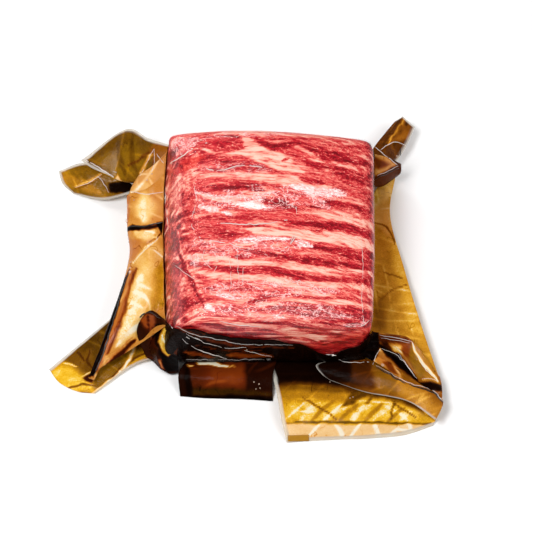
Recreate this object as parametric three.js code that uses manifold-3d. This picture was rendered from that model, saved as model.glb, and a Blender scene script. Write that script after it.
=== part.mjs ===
// A raw beef round block, vacuum-sealed in a pouch: the block with its close clear front film is one solid,
// and the amber back film is another. The back film is a cup round the lower part of the block, with loose
// flaps, pleats and gussets that spread out from its rim. Millimetres, +Z up, the pouch lying on its back film.
import * as THREE from "three";
import { mergeVertices } from "three/addons/utils/BufferGeometryUtils.js";
import Module from "manifold-3d";

const wasm = await Module();
wasm.setup();

// ---- Driving dimensions (mm) ----
// Reach of each side from the middle of the block, at its foot, at its belly and at its top.
const BLOCK = {
  left: [59, 68, 50],
  right: [64, 68, 68],
  front: [64, 69.5, 67],
  back: [65, 72, 72],
  flare: 18, // how far the top left edge spreads at the back corner
  taper: 0.035, // both sides draw in towards the front by this share of the half width
  height: 67, // along the crown of the top
  backRise: 4, // the top climbs to the back edge
  crownFall: 7, // and falls to the side edges
  crownPlace: -0.2, // from a crown that lies left of the middle, as a share of the half width
  squareness: 24, // exponent of the rounded plan outline
  edgeSquareness: 12, // exponent of the rounded upright section
  waves: 0.9, // height of the soft dents in the sides
};
const FILM = {
  thickness: 1.2, // drawn thicker than the real film, as a solid
  clearance: 0.5, // between the cup and the block
  leastClearance: 0.25, // where a fold comes closer, it is cut back to this
};
const FOOT = FILM.thickness + FILM.clearance; // the block's underside, above the surface the pouch lies on
const MID_WALL = FILM.clearance + FILM.thickness / 2;

// Height of the back film's rim round the block: bearing in degrees, anticlockwise from +X, and height.
const RIM = [
  [0, 7], [36, 8], [43, 52], [56, 32], [90, 27], [120, 32], [133, 50], [148, 40], [180, 36],
  [214, 34], [228, 60], [240, 53], [252, 48], [270, 46], [286, 41], [301, 25], [309, 36], [316, 52], [325, 12],
  [360, 7],
];

const RINGS = { around: 60, upright: 22 }; // facets round the block, and from its underside to its top
const CROWDING = 7; // degrees by which the rings and their points crowd towards the block's edges

const BEEF = new THREE.MeshStandardMaterial({ name: "raw_beef", color: 0xc2504f, roughness: 0.35 });
const AMBER = new THREE.MeshStandardMaterial({
  name: "amber_film", color: 0xb07a1e, roughness: 0.2, metalness: 0.1,
});

// ---- Small tools ----
const radians = THREE.MathUtils.degToRad;

/** Radius of the rounded square of unit half-width, in the direction of the angle. */
function squareRadius(angle, squareness) {
  const sum = Math.abs(Math.cos(angle)) ** squareness + Math.abs(Math.sin(angle)) ** squareness;
  return sum ** (-1 / squareness);
}

/** A quadratic through three values at -1, 0 and 1. */
function through([low, middle, high], t) {
  return middle + ((high - low) / 2) * t + ((high + low) / 2 - middle) * t * t;
}

/** Two rows of triangles for each strip between neighbouring rows of points. */
function facets(rows, closed) {
  const triangles = [];
  for (let i = 0; i + 1 < rows.length; i++) {
    const count = rows[i].length;
    for (let j = 0; j + (closed ? 0 : 1) < count; j++) {
      const next = (j + 1) % count;
      triangles.push([rows[i][j], rows[i][next], rows[i + 1][next]]);
      triangles.push([rows[i][j], rows[i + 1][next], rows[i + 1][j]]);
    }
  }
  return triangles;
}

/** One closed solid of triangles that all face out or all face in. */
function solidOf(triangles) {
  const merged = mergeVertices(new THREE.BufferGeometry().setFromPoints(triangles.flat()), 1e-4);
  const volume = triangles.reduce((sum, [a, b, c]) => sum + a.dot(b.clone().cross(c)), 0);
  const corners = [];
  for (let i = 0; i < merged.index.count; i += 3) {
    const [a, b, c] = [0, 1, 2].map((k) => merged.index.getX(i + k));
    if (a === b || b === c || c === a) continue;
    corners.push(...(volume > 0 ? [a, b, c] : [a, c, b]));
  }
  return new wasm.Manifold(new wasm.Mesh({
    numProp: 3,
    vertProperties: Float32Array.from(merged.attributes.position.array),
    triVerts: Uint32Array.from(corners),
  }));
}

/** A named mesh of a solid. */
function meshOf(name, solid, material) {
  const { vertProperties, triVerts } = solid.getMesh();
  const geometry = new THREE.BufferGeometry();
  geometry.setAttribute("position", new THREE.BufferAttribute(vertProperties, 3));
  geometry.setIndex(new THREE.BufferAttribute(triVerts, 1));
  geometry.computeVertexNormals();
  const mesh = new THREE.Mesh(geometry, material);
  mesh.name = name;
  return mesh;
}

// ---- The beef block ----
/** Soft, wide dents and swellings of the meat, in mm along its outward direction. */
function swelling(a, b, c) {
  return BLOCK.waves * (Math.sin(3.1 * a + 2.3 * c + 0.6) + Math.sin(2.7 * b - 3.3 * c + 1.9)) / 2;
}

/** A point on the block with all its sides moved out by grow: bearing round it, and slope from its middle. */
function onBlock(bearing, slope, grow = 0) {
  const section = squareRadius(slope, BLOCK.edgeSquareness);
  const reach = squareRadius(bearing, BLOCK.squareness) * section * Math.cos(slope);
  const [a, b, c] = [reach * Math.cos(bearing), reach * Math.sin(bearing), section * Math.sin(slope)];
  const flare = BLOCK.flare * Math.max(0, b) ** 4 * Math.max(0, c) ** 2;
  const width = (a < 0 ? through(BLOCK.left, c) + flare : through(BLOCK.right, c)) * (1 + BLOCK.taper * b);
  const spanX = width + grow + swelling(b, a, c);
  const spanY = through(b < 0 ? BLOCK.front : BLOCK.back, c) + grow + swelling(a, b, c);
  const fall = (BLOCK.crownFall + b * BLOCK.backRise / 2) * (a - BLOCK.crownPlace) ** 2;
  const top = BLOCK.height + BLOCK.backRise * b - fall;
  const flatFoot = 0.04; // the lowest part of the rounded section is cut flat
  const rise = Math.max(0, (c + 1) / 2 - flatFoot) / (1 - flatFoot);
  return new THREE.Vector3(a * spanX, b * spanY, FOOT - grow + rise * (top + 2 * grow));
}

/** Rings of points on the grown block, from its underside up to the slope that topSlope gives for a bearing. */
function rings(grow, topSlope = () => Math.PI / 2) {
  const crowded = (degrees) => radians(degrees + CROWDING * Math.sin(4 * radians(degrees)));
  return Array.from({ length: RINGS.upright + 1 }, (_, i) => {
    const slope = crowded(-90 + (180 * i) / RINGS.upright);
    return Array.from({ length: RINGS.around }, (_, k) => {
      const bearing = crowded((360 * k) / RINGS.around);
      return onBlock(bearing, Math.min(slope, topSlope(bearing)), grow);
    });
  });
}

// ---- The amber back film ----
/** Height of the cup's rim at a bearing, eased between the named heights. */
function rimHeight(bearing) {
  const degrees = THREE.MathUtils.euclideanModulo(THREE.MathUtils.radToDeg(bearing), 360);
  const k = RIM.findIndex(([from]) => from >= degrees);
  if (k <= 0) return RIM[0][1];
  const [[from, low], [to, high]] = [RIM[k - 1], RIM[k]];
  return THREE.MathUtils.lerp(low, high, THREE.MathUtils.smoothstep(degrees, from, to));
}

/** The slope on the block at which a height is reached. */
function slopeAt(height) {
  const c = (2 * (height - FOOT)) / BLOCK.height - 1;
  return Math.atan2(c, (1 - Math.abs(c) ** BLOCK.edgeSquareness) ** (1 / BLOCK.edgeSquareness));
}

/** The cup under and round the block: up its outside to the rim and down its inside. */
function cup() {
  const rimSlope = (bearing) => slopeAt(rimHeight(bearing));
  const outside = rings(FILM.clearance + FILM.thickness, rimSlope);
  const inside = rings(FILM.clearance, rimSlope);
  return solidOf(facets([...outside, ...inside.reverse()], true));
}

/** Points inside the cup's wall between two bearings in degrees, at heights between two heights. */
function wallRail([from, to], [low, high], count = 5) {
  return Array.from({ length: count }, (_, k) => {
    const bearing = radians(THREE.MathUtils.lerp(from, to, k / (count - 1)));
    return onBlock(bearing, slopeAt(THREE.MathUtils.lerp(low, high, k / (count - 1))), MID_WALL);
  });
}

/** Points inside the cup's wall just under its rim, between two bearings in degrees. */
function rimRail(from, to, count = 5) {
  return Array.from({ length: count }, (_, k) => {
    const bearing = radians(THREE.MathUtils.lerp(from, to, k / (count - 1)));
    return onBlock(bearing, slopeAt(rimHeight(bearing) - FILM.thickness), MID_WALL);
  });
}

/** A smooth curve through a rail's points, or a sharply creased one. */
function curve(points, creased) {
  const vectors = points.map((point) => (point.isVector3 ? point : new THREE.Vector3(...point)));
  return new THREE.CatmullRomCurve3(vectors, false, creased ? "catmullrom" : "centripetal", 0);
}

/** A film sheet of even thickness over rails that follow one another from the block outwards. */
function sheet(rails, { along = 8, across = 6, creased = false } = {}) {
  const curves = rails.map((points) => curve(points, creased));
  const middle = Array.from({ length: along + 1 }, (_, j) => {
    const cross = curve(curves.map((rail) => rail.getPoint(j / along)), false);
    return Array.from({ length: across + 1 }, (_, i) => cross.getPoint(i / across));
  });
  const side = (sign) => middle.map((row, j) => row.map((point, i) => {
    const alongStep = middle[Math.min(j + 1, along)][i].clone().sub(middle[Math.max(j - 1, 0)][i]);
    const acrossStep = row[Math.min(i + 1, across)].clone().sub(row[Math.max(i - 1, 0)]);
    const normal = alongStep.cross(acrossStep).normalize();
    return point.clone().addScaledVector(normal, (sign * FILM.thickness) / 2);
  }));
  const [upper, lower] = [side(1), side(-1)];
  const border = (rows) => [
    ...rows[0],
    ...rows.slice(1).map((row) => row[across]),
    ...rows[along].slice(0, -1).reverse(),
    ...rows.slice(1, -1).map((row) => row[0]).reverse(),
  ];
  const flipped = facets(lower, false).map(([a, b, c]) => [a, c, b]);
  const walls = facets([border(lower), border(upper)], true);
  return solidOf([...facets(upper, false), ...flipped, ...walls]);
}

/** The flange along the right side, widening to the front corner. */
function rightFlange() {
  return sheet([
    rimRail(34, -34, 7),
    [[76, 69, 4], [75, 42, 5], [79, 1, 6], [84, -37, 7], [89, -66, 8]],
    [[88, 76, 7], [83, 45, 8], [91, 1, 9], [100, -40, 10], [111, -83, 10]],
  ], { along: 14, across: 4 });
}

/** The tented pleat at the back right corner, with its tail of loose film. */
function backRightEar() {
  const tent = sheet([
    wallRail([47, 41], [46, 20], 7),
    [[80, 72, 36], [77, 68, 26], [78, 64, 12]],
    [[91, 77, 20], [91, 74, 14], [89, 74, 9]],
  ], { along: 6, across: 6 });
  const tail = sheet([
    wallRail([50, 42], [20, 8]),
    [[76, 98, 14], [85, 98, 16], [93, 93, 10]],
    [[89, 117, 12], [94, 120, 14], [102, 113, 11]],
  ], { along: 6, across: 8, creased: true });
  return tent.add(tail);
}

/** The pleated flange behind the block. */
function backFlange() {
  return sheet([
    rimRail(128, 54, 9),
    [[-54, 80, 30], [-34, 82, 16], [-14, 80, 20], [6, 83, 12], [26, 80, 19], [44, 82, 12], [62, 78, 18]],
    [[-56, 93, 18], [-36, 96, 0.55], [-14, 93, 9], [6, 96, 0.55], [26, 93, 9], [46, 96, 0.55], [70, 88, 9]],
  ], { along: 18, across: 4 });
}

/** The two overlapping sheets of the back left flap. */
function backLeftFlap() {
  const upper = sheet([
    wallRail([129, 139], [45, 42]),
    [[-81, 87, 36], [-83, 78, 28], [-87, 62, 20]],
    [[-96, 99, 30], [-103, 87, 20], [-103, 69, 12]],
    [[-128, 81, 18], [-121, 77, 15], [-107, 72, 12]],
  ], { along: 6, across: 8 });
  const lower = sheet([
    [[-104, 74, 14], [-97, 70, 9], [-86, 62, 11]],
    [[-126, 83, 12], [-118, 72, 7], [-112, 58, 4]],
    [[-145, 83.5, 0.55], [-142, 73.5, 0.55], [-134, 65, 0.55]],
  ], { along: 6, across: 6 });
  return upper.add(lower);
}

/** The standing column of film down the left side, rolled under along its outer edge. */
function leftColumn() {
  const shoulder = sheet([
    wallRail([133, 146], [47, 39], 7),
    [[-78, 62, 40], [-79, 54, 38], [-80, 43, 36]],
    [[-88, 63, 26], [-92, 55, 26], [-95, 45, 24]],
    [[-86, 62, 16], [-88, 55, 15], [-90, 45, 14]],
  ], { along: 4, across: 8 });
  const panel = sheet([
    rimRail(142, 219, 9),
    [[-80, 47, 37], [-80, 23, 31], [-78, -4, 33], [-79, -41, 28], [-88, -61, 12]],
    [[-95, 48, 25], [-94, 24, 21], [-92, 5, 20], [-103, -43, 18], [-116, -81, 10]],
    [[-90, 47, 14], [-89, 24, 11], [-87, 4, 10], [-98, -44, 9], [-113, -81, 6]],
  ], { along: 14, across: 8 });
  return shoulder.add(panel);
}

/** The flat flap that spreads from under the column to the front left. */
function frontLeftFlap() {
  return sheet([
    wallRail([162, 224], [6, 6], 7),
    [[-93, -23, 5], [-99, -43, 4.5], [-97, -59, 4.5], [-84, -67, 3.5]],
    [[-143, -70.5, 0.55], [-136, -80, 0.55], [-124, -86.5, 0.55], [-112, -88, 0.55]],
  ], { along: 8, across: 8 });
}

/** The pleats gathered at the front left corner. */
function frontLeftKnot() {
  return sheet([
    rimRail(222, 237, 9),
    [[-76, -46, 36], [-70, -54, 27], [-66, -61, 36], [-62, -66, 27], [-57, -70, 32]],
    [[-85, -53, 24], [-77, -60, 13], [-72, -67, 18], [-66, -72, 8], [-58, -73, 12]],
    [[-80, -63, 4], [-75, -66, 3], [-70, -72, 4], [-64, -75, 3], [-58, -74, 3]],
  ], { along: 12, across: 6, creased: true });
}

/** The low skirt in front of the block. */
function frontSkirt() {
  return sheet([
    wallRail([229, 275], [8, 8], 7),
    [[-58, -77, 8], [-38, -81, 10], [-18, -80, 9], [3, -80, 7]],
    [[-57, -90, 0.55], [-38, -91.5, 0.55], [-18, -92, 0.55], [3, -93.5, 0.55]],
  ], { along: 8, across: 6 });
}

/** The broad flap at the front right, with its flat sealed edge. */
function frontRightFlap() {
  return sheet([
    [...wallRail([270, 318], [7, 7], 7), [90, -78, 6]],
    [[5, -88, 6], [28, -90, 7], [53, -92, 8], [82, -94, 8], [108, -95, 9]],
    [[9, -112, 6], [33, -112, 7], [59, -111, 8], [87, -108, 8], [112, -99, 8]],
    [[12, -123, 0.55], [40, -121, 0.55], [65, -120, 0.55], [88, -117.5, 0.55], [106, -111, 0.55]],
  ], { along: 12, across: 8 });
}

/** The folded layer that lies over the broad flap. */
function frontRightFold() {
  return sheet([
    [...wallRail([300, 314], [11, 16]), [76, -72, 15]],
    [[31, -73, 11], [53, -78, 14], [76, -83, 16], [98, -88, 14]],
    [[35, -79, 10], [58, -88, 12], [85, -93, 14], [112, -99, 13]],
    [[40, -82, 8], [62, -91, 9], [90, -99, 11], [107, -112, 11]],
  ], { along: 8, across: 6 });
}

/** The sharp gusset that runs from the front right corner down to the flange's end. */
function frontRightGusset() {
  return sheet([
    wallRail([318, 312], [46, 26], 7),
    [[80, -59, 28], [79, -61, 18], [77, -71, 26], [76, -72, 16], [72, -77, 20]],
    [[92, -57, 18], [94, -68, 12], [95, -82, 17], [93, -84, 12], [88, -87, 15]],
    [[111, -82, 12], [112, -86, 10], [112, -91, 12], [112, -95, 11], [111, -100, 12]],
  ], { along: 12, across: 8, creased: true });
}

/** The whole back film as one body, without the small hollows that overlapping folds shut in. */
function backFilm() {
  const flaps = [
    rightFlange(), backRightEar(), backFlange(), backLeftFlap(), leftColumn(), frontLeftFlap(),
    frontLeftKnot(), frontSkirt(), frontRightFlap(), frontRightFold(), frontRightGusset(),
  ];
  const joined = flaps.reduce((film, flap) => film.add(flap), cup());
  const bodies = joined.subtract(solidOf(facets(rings(FILM.leastClearance), true))).decompose();
  return bodies.sort((one, other) => other.volume() - one.volume())[0];
}

// ---- The part, its origin at the middle of its box, on the surface it lies on ----
const pouch = new THREE.Group();
pouch.add(meshOf("beef_block", solidOf(facets(rings(0), true)), BEEF));
pouch.add(meshOf("pouch_film", backFilm(), AMBER));
const box = new THREE.Box3().setFromObject(pouch);
pouch.position.set(-(box.min.x + box.max.x) / 2, -(box.min.y + box.max.y) / 2, -box.min.z);

export default new THREE.Group().add(pouch);
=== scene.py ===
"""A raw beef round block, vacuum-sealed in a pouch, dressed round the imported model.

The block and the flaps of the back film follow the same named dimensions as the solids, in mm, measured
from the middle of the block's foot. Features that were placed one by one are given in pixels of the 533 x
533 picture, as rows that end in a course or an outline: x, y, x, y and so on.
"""

import math
from itertools import product

import bpy
import numpy as np
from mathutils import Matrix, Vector
from mathutils.bvhtree import BVHTree


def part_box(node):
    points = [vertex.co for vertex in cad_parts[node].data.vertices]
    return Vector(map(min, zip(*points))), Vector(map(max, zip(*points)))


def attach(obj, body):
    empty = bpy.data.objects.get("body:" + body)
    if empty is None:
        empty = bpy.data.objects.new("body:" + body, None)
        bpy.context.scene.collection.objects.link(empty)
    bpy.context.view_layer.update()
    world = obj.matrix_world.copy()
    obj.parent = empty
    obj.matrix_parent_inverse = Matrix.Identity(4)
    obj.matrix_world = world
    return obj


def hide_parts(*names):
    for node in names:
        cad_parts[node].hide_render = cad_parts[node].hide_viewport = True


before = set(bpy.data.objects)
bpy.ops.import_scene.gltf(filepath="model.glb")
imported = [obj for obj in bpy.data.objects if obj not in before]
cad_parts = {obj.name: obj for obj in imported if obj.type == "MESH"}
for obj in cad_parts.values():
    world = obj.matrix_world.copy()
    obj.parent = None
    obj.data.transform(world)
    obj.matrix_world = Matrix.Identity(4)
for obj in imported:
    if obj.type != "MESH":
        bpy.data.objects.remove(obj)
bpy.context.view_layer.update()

MM = 0.001

# ---- The block and the film, as in the solids (mm) ----
LEFT, RIGHT, FRONT, BACK = (59, 68, 50), (64, 68, 68), (64, 69.5, 67), (65, 72, 72)
FLARE, TAPER = 18, 0.035
HEIGHT, BACK_RISE = 67, 4
CROWN_FALL, CROWN_PLACE = 7, -0.2
SQUARENESS, EDGE_SQUARENESS = 24, 12
WAVES = 0.9
FLAT_FOOT = 0.04
FOOT = 1.7
MID_WALL = 1.1
RIM = [  # bearing in degrees, and height of the cup's rim
    (0, 7), (36, 8), (43, 52), (56, 32), (90, 27), (120, 32), (133, 50), (148, 40), (180, 36), (214, 34),
    (228, 60), (240, 53), (252, 48), (270, 46), (286, 41), (301, 25), (309, 36), (316, 52), (325, 12),
    (360, 7),
]
RIM_EASE = 1.2  # the flaps leave the cup this far under its rim
SOLID_RINGS = {"around": 60, "upright": 22, "crowding": 7}

# ---- What is finer than the solids (mm) ----
CLEAR_GAP = 0.45  # from the meat to the clear film
CUP_GAP = 1.0  # from the meat to the middle of the back film
LIP_CLING = 0.6  # how much nearer to the meat the cup's inner face comes at its rim
FILM_THICKNESS = 0.3
FILM_STEP = 1.1  # between the points of a film sheet
CREASE_SPACINGS = (34, 23, 17, 12, 9)  # between the creases of one direction, one direction after another
CREASE_HALF_WIDTH = 0.3  # as a share of the spacing
WRINKLE_CELLS, WRINKLE_STRETCH, WRINKLE_HEIGHT = 5, 0.18, 0.9  # of the cup's upright wrinkles
MEAT_GRID = (155, 155, 78)
CLEAR_GRID = (128, 128, 64)
CUP_GRID = (420, 64)

# ---- The picture's view ----
PICTURE = 533
FOCAL = 1913  # pixels
DISTANCE = 1290  # mm, from the camera to the aim
ELEVATION = math.radians(60)
AIM = np.array([-1.0, 7.5, 0.0])
SENSOR = 36  # mm
LIGHTS = {  # place and width in m, and power in W
    "key": ((-0.42, -0.30, 1.15), 0.45, 11.5),
    "fill": ((0.75, -0.35, 0.85), 0.7, 5.8),
    "rear": ((-0.5, 0.7, 0.5), 0.4, 3.0),
}
FLOOR_WIDTH = 4  # m

NOISE_TABLE = 32  # cells along each side of a noise's table
PATH_BENDS = 6  # straight steps between the pixels of a smooth path
SWAY_CELLS = 5  # size of the waverings of painted edges and of creases


# ---- Shapes of the block ----
def norm(u, v, power):
    """Radius of a rounded square through (u, v)."""
    return (np.abs(u) ** power + np.abs(v) ** power) ** (1 / power)


def through(values, t):
    """A quadratic through three values at -1, 0 and 1."""
    low, middle, high = values
    return middle + (high - low) / 2 * t + ((high + low) / 2 - middle) * t * t


def swelling(a, b, c):
    """Soft, wide dents and swellings of the meat."""
    return WAVES * (np.sin(3.1 * a + 2.3 * c + 0.6) + np.sin(2.7 * b - 3.3 * c + 1.9)) / 2


def on_block(unit, grow=0.0):
    """Points on the block, with all its sides moved out by grow, for points on the rounded unit block."""
    a, b, c = np.moveaxis(unit, -1, 0)
    flare = FLARE * np.maximum(0, b) ** 4 * np.maximum(0, c) ** 2
    width = np.where(a < 0, through(LEFT, c) + flare, through(RIGHT, c)) * (1 + TAPER * b)
    span_x = width + grow + swelling(b, a, c)
    span_y = np.where(b < 0, through(FRONT, c), through(BACK, c)) + grow + swelling(a, b, c)
    fall = (CROWN_FALL + b * BACK_RISE / 2) * (a - CROWN_PLACE) ** 2
    top = HEIGHT + BACK_RISE * b - fall
    rise = np.maximum(0, (c + 1) / 2 - FLAT_FOOT) / (1 - FLAT_FOOT)
    return np.stack([a * span_x, b * span_y, FOOT - grow + rise * (top + 2 * grow)], axis=-1)


def unit_from_angles(bearing, slope):
    """Points on the rounded unit block for bearings round it and slopes from its middle."""
    section = 1 / norm(np.cos(slope), np.sin(slope), EDGE_SQUARENESS)
    reach = section * np.cos(slope) / norm(np.cos(bearing), np.sin(bearing), SQUARENESS)
    return np.stack([reach * np.cos(bearing), reach * np.sin(bearing), section * np.sin(slope)], axis=-1)


def unit_from_cube(spots):
    """Points on the rounded unit block for points on a cube."""
    x, y, z = np.moveaxis(spots, -1, 0)
    return spots / norm(norm(x, y, SQUARENESS), z, EDGE_SQUARENESS)[..., None]


def rim_height(bearing):
    """Height of the cup's rim at a bearing, eased between the named heights."""
    degrees = np.degrees(bearing) % 360
    bearings, heights = (np.array(column, float) for column in zip(*RIM))
    k = np.clip(np.searchsorted(bearings, degrees) - 1, 0, len(RIM) - 2)
    share = np.clip((degrees - bearings[k]) / (bearings[k + 1] - bearings[k]), 0, 1)
    return heights[k] + (heights[k + 1] - heights[k]) * share * share * (3 - 2 * share)


def slope_at(height):
    """The slope on the block at which a height is reached."""
    c = 2 * (np.asarray(height, float) - FOOT) / HEIGHT - 1
    return np.arctan2(c, (1 - np.abs(c) ** EDGE_SQUARENESS) ** (1 / EDGE_SQUARENESS))


def crowded(degrees):
    """Angles that crowd towards the block's edges."""
    return np.radians(degrees + SOLID_RINGS["crowding"] * np.sin(4 * np.radians(degrees)))


def solid_corner():
    """Lowest corner of the block's solid, worked out from the same rings."""
    bearing = crowded(np.arange(SOLID_RINGS["around"]) * 360 / SOLID_RINGS["around"])
    slope = crowded(np.linspace(-90, 90, SOLID_RINGS["upright"] + 1))
    return on_block(unit_from_angles(*np.meshgrid(bearing, slope))).reshape(-1, 3).min(axis=0)


SHIFT = np.array(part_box("beef_block")[0]) - solid_corner() * MM


# ---- Small tools ----
def smooth(low, high, values):
    """Eased steps from 0 at low to 1 at high."""
    share = np.clip((values - low) / (high - low), 0, 1)
    return share * share * (3 - 2 * share)


def noise(points, cells, seed, octaves=1):
    """Smooth seeded noise from -1 to 1 with cells of a size, or of a size along each axis."""
    table = np.random.default_rng(seed).uniform(-1, 1, (NOISE_TABLE,) * 3)
    total = np.zeros(len(points))
    for octave in range(octaves):
        scaled = points / (np.asarray(cells, float) / 2 ** octave) + 7.3 * octave
        cell = np.floor(scaled).astype(int)
        share = scaled - cell
        share = share * share * (3 - 2 * share)
        for corner in product((0, 1), repeat=3):
            weight = np.prod(np.where(corner, share, 1 - share), axis=1)
            i, j, k = ((cell + corner) % NOISE_TABLE).T
            total += weight * table[i, j, k] / 2 ** octave
    return total


def layered(points, amount, *kind):
    """Noise from -amount to amount, of a kind: its cells, its seed and its octaves."""
    return amount * noise(points, *kind)


def swayed(spots, points, amount, seeds):
    """Pixels moved a little by noise at points, so that straight courses waver."""
    return spots + amount * np.stack([noise(points, SWAY_CELLS, seed, 2) for seed in seeds], axis=1)


def pairs(numbers):
    """Pixels from numbers that say x, y, x, y and so on."""
    return np.reshape(numbers, (-1, 2)).astype(float)


def through_knots(knots, shares, creased=False):
    """Points at shares of a course through knots: a smooth curve, or straight runs between the knots."""
    knots = np.asarray(knots, float)
    place = np.clip(np.asarray(shares, float) * (len(knots) - 1), 0, len(knots) - 1 - 1e-9)
    k = place.astype(int)
    t = (place - k).reshape((-1,) + (1,) * (knots.ndim - 1))
    padded = np.concatenate([[2 * knots[0] - knots[1]], knots, [2 * knots[-1] - knots[-2]]])
    p0, p1, p2, p3 = (padded[k + step] for step in range(4))
    leave = arrive = np.zeros_like(p1)
    if not creased:
        d0, d1, d2 = (
            np.maximum(np.sqrt(np.linalg.norm(q - p, axis=-1, keepdims=True)), 1e-4)
            for p, q in ((p0, p1), (p1, p2), (p2, p3))
        )
        leave = ((p1 - p0) / d0 - (p2 - p0) / (d0 + d1) + (p2 - p1) / d1) * d1
        arrive = ((p2 - p1) / d1 - (p3 - p1) / (d1 + d2) + (p3 - p2) / d2) * d1
    bend = -3 * p1 + 3 * p2 - 2 * leave - arrive
    twist = 2 * p1 - 2 * p2 + leave + arrive
    return p1 + t * (leave + t * (bend + t * twist))


def in_picture(points):
    """Where points show in the picture, in pixels."""
    x, y, z = (points - AIM).T
    depth = DISTANCE + math.cos(ELEVATION) * y - math.sin(ELEVATION) * z
    up = math.sin(ELEVATION) * y + math.cos(ELEVATION) * z
    return np.stack([PICTURE / 2 + FOCAL * x / depth, PICTURE / 2 - FOCAL * up / depth], axis=1)


def eye():
    """Where the camera stands."""
    return AIM + DISTANCE * np.array([0, -math.cos(ELEVATION), math.sin(ELEVATION)])


def sight(pixel):
    """The direction in which a pixel is seen."""
    right = np.array([1.0, 0, 0])
    ahead = np.array([0, math.cos(ELEVATION), -math.sin(ELEVATION)])
    up = np.array([0, math.sin(ELEVATION), math.cos(ELEVATION)])
    x, y = (pixel[0] - PICTURE / 2) / FOCAL, (PICTURE / 2 - pixel[1]) / FOCAL
    return ahead + x * right + y * up


def from_path(spots, line):
    """Distance of each spot from a smooth path through points, and the share of the path passed there."""
    if len(line) > 2:
        line = through_knots(line, np.linspace(0, 1, PATH_BENDS * (len(line) - 1) + 1))
    best = np.full(len(spots), np.inf)
    passed = np.zeros(len(spots))
    for k, (start, end) in enumerate(zip(line[:-1], line[1:])):
        step = end - start
        share = np.clip((spots - start) @ step / (step @ step), 0, 1)
        away = np.linalg.norm(spots - start - share[:, None] * step, axis=1)
        nearer = away < best
        best[nearer] = away[nearer]
        passed[nearer] = (k + share[nearer]) / (len(line) - 1)
    return best, passed


def inside_by(spots, corners):
    """How far inside a polygon each spot lies; outside it the distance is negative."""
    edges = list(zip(corners, np.roll(corners, -1, axis=0)))
    away = np.min([from_path(spots, edge)[0] for edge in edges], axis=0)
    inside = np.zeros(len(spots), bool)
    for (x0, y0), (x1, y1) in edges:
        if y0 == y1:
            continue
        crosses = (y0 > spots[:, 1]) != (y1 > spots[:, 1])
        inside ^= crosses & (spots[:, 0] < x0 + (spots[:, 1] - y0) * (x1 - x0) / (y1 - y0))
    return np.where(inside, away, -away)


def normals_of(points, faces):
    """Outward directions at the points of a mesh of quads."""
    across = np.cross(points[faces[:, 2]] - points[faces[:, 0]], points[faces[:, 3]] - points[faces[:, 1]])
    total = np.zeros_like(points)
    for k in range(4):
        np.add.at(total, faces[:, k], across)
    return total / np.maximum(np.linalg.norm(total, axis=1, keepdims=True), 1e-9)


def cube_grid(counts):
    """Points on a cube with counts of faces along each axis, and its quads, all facing out."""
    size = np.array(counts)
    quads = []
    for axis in range(3):
        first, second = (axis + 1) % 3, (axis + 2) % 3
        i, j = (index.ravel() for index in np.meshgrid(range(size[first]), range(size[second])))
        for side in (0, 1):
            square = np.zeros((i.size, 4, 3), int)
            for k, (step_i, step_j) in enumerate(((0, 0), (1, 0), (1, 1), (0, 1))):
                square[:, k, first] = i + step_i
                square[:, k, second] = j + step_j
                square[:, k, axis] = side * size[axis]
            quads.append(square if side else square[:, ::-1])
    spots, index = np.unique(np.concatenate(quads).reshape(-1, 3), axis=0, return_inverse=True)
    return spots / size * 2 - 1, index.reshape(-1, 4)


def add_piece(name, points, faces, material, slot, stands_for=None, **attributes):
    """A piece of the pack from points in mm, with attributes on its points."""
    mesh = bpy.data.meshes.new(name)
    mesh.from_pydata((points * MM + SHIFT).tolist(), [], [list(map(int, face)) for face in faces])
    for title, values in attributes.items():
        vector = values.ndim == 2
        attribute = mesh.attributes.new(title, "FLOAT_VECTOR" if vector else "FLOAT", "POINT")
        attribute.data.foreach_set("vector" if vector else "value", values.astype(np.float32).ravel())
    mesh.shade_smooth()
    mesh.materials.append(material)
    piece = bpy.data.objects.new(name, mesh)
    bpy.context.scene.collection.objects.link(piece)
    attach(piece, "root")
    if stands_for:
        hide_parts(stands_for)
    return piece


# ---- Materials ----
def srgb(red, green, blue):
    """A colour given by its 8-bit values, as the shaders take it."""
    shares = (value / 255 for value in (red, green, blue))
    return tuple(s / 12.92 if s <= 0.04045 else ((s + 0.055) / 1.055) ** 2.4 for s in shares) + (1.0,)


class Number:
    """A number that a material's nodes work out, for use in plain sums."""

    def __init__(self, shading, socket):
        self.shading, self.socket = shading, socket

    def __add__(self, other):
        return self.shading.math("ADD", self, other)

    def __sub__(self, other):
        return self.shading.math("SUBTRACT", self, other)

    def __rsub__(self, other):
        return self.shading.math("SUBTRACT", other, self)

    def __mul__(self, other):
        return self.shading.math("MULTIPLY", self, other)


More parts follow.
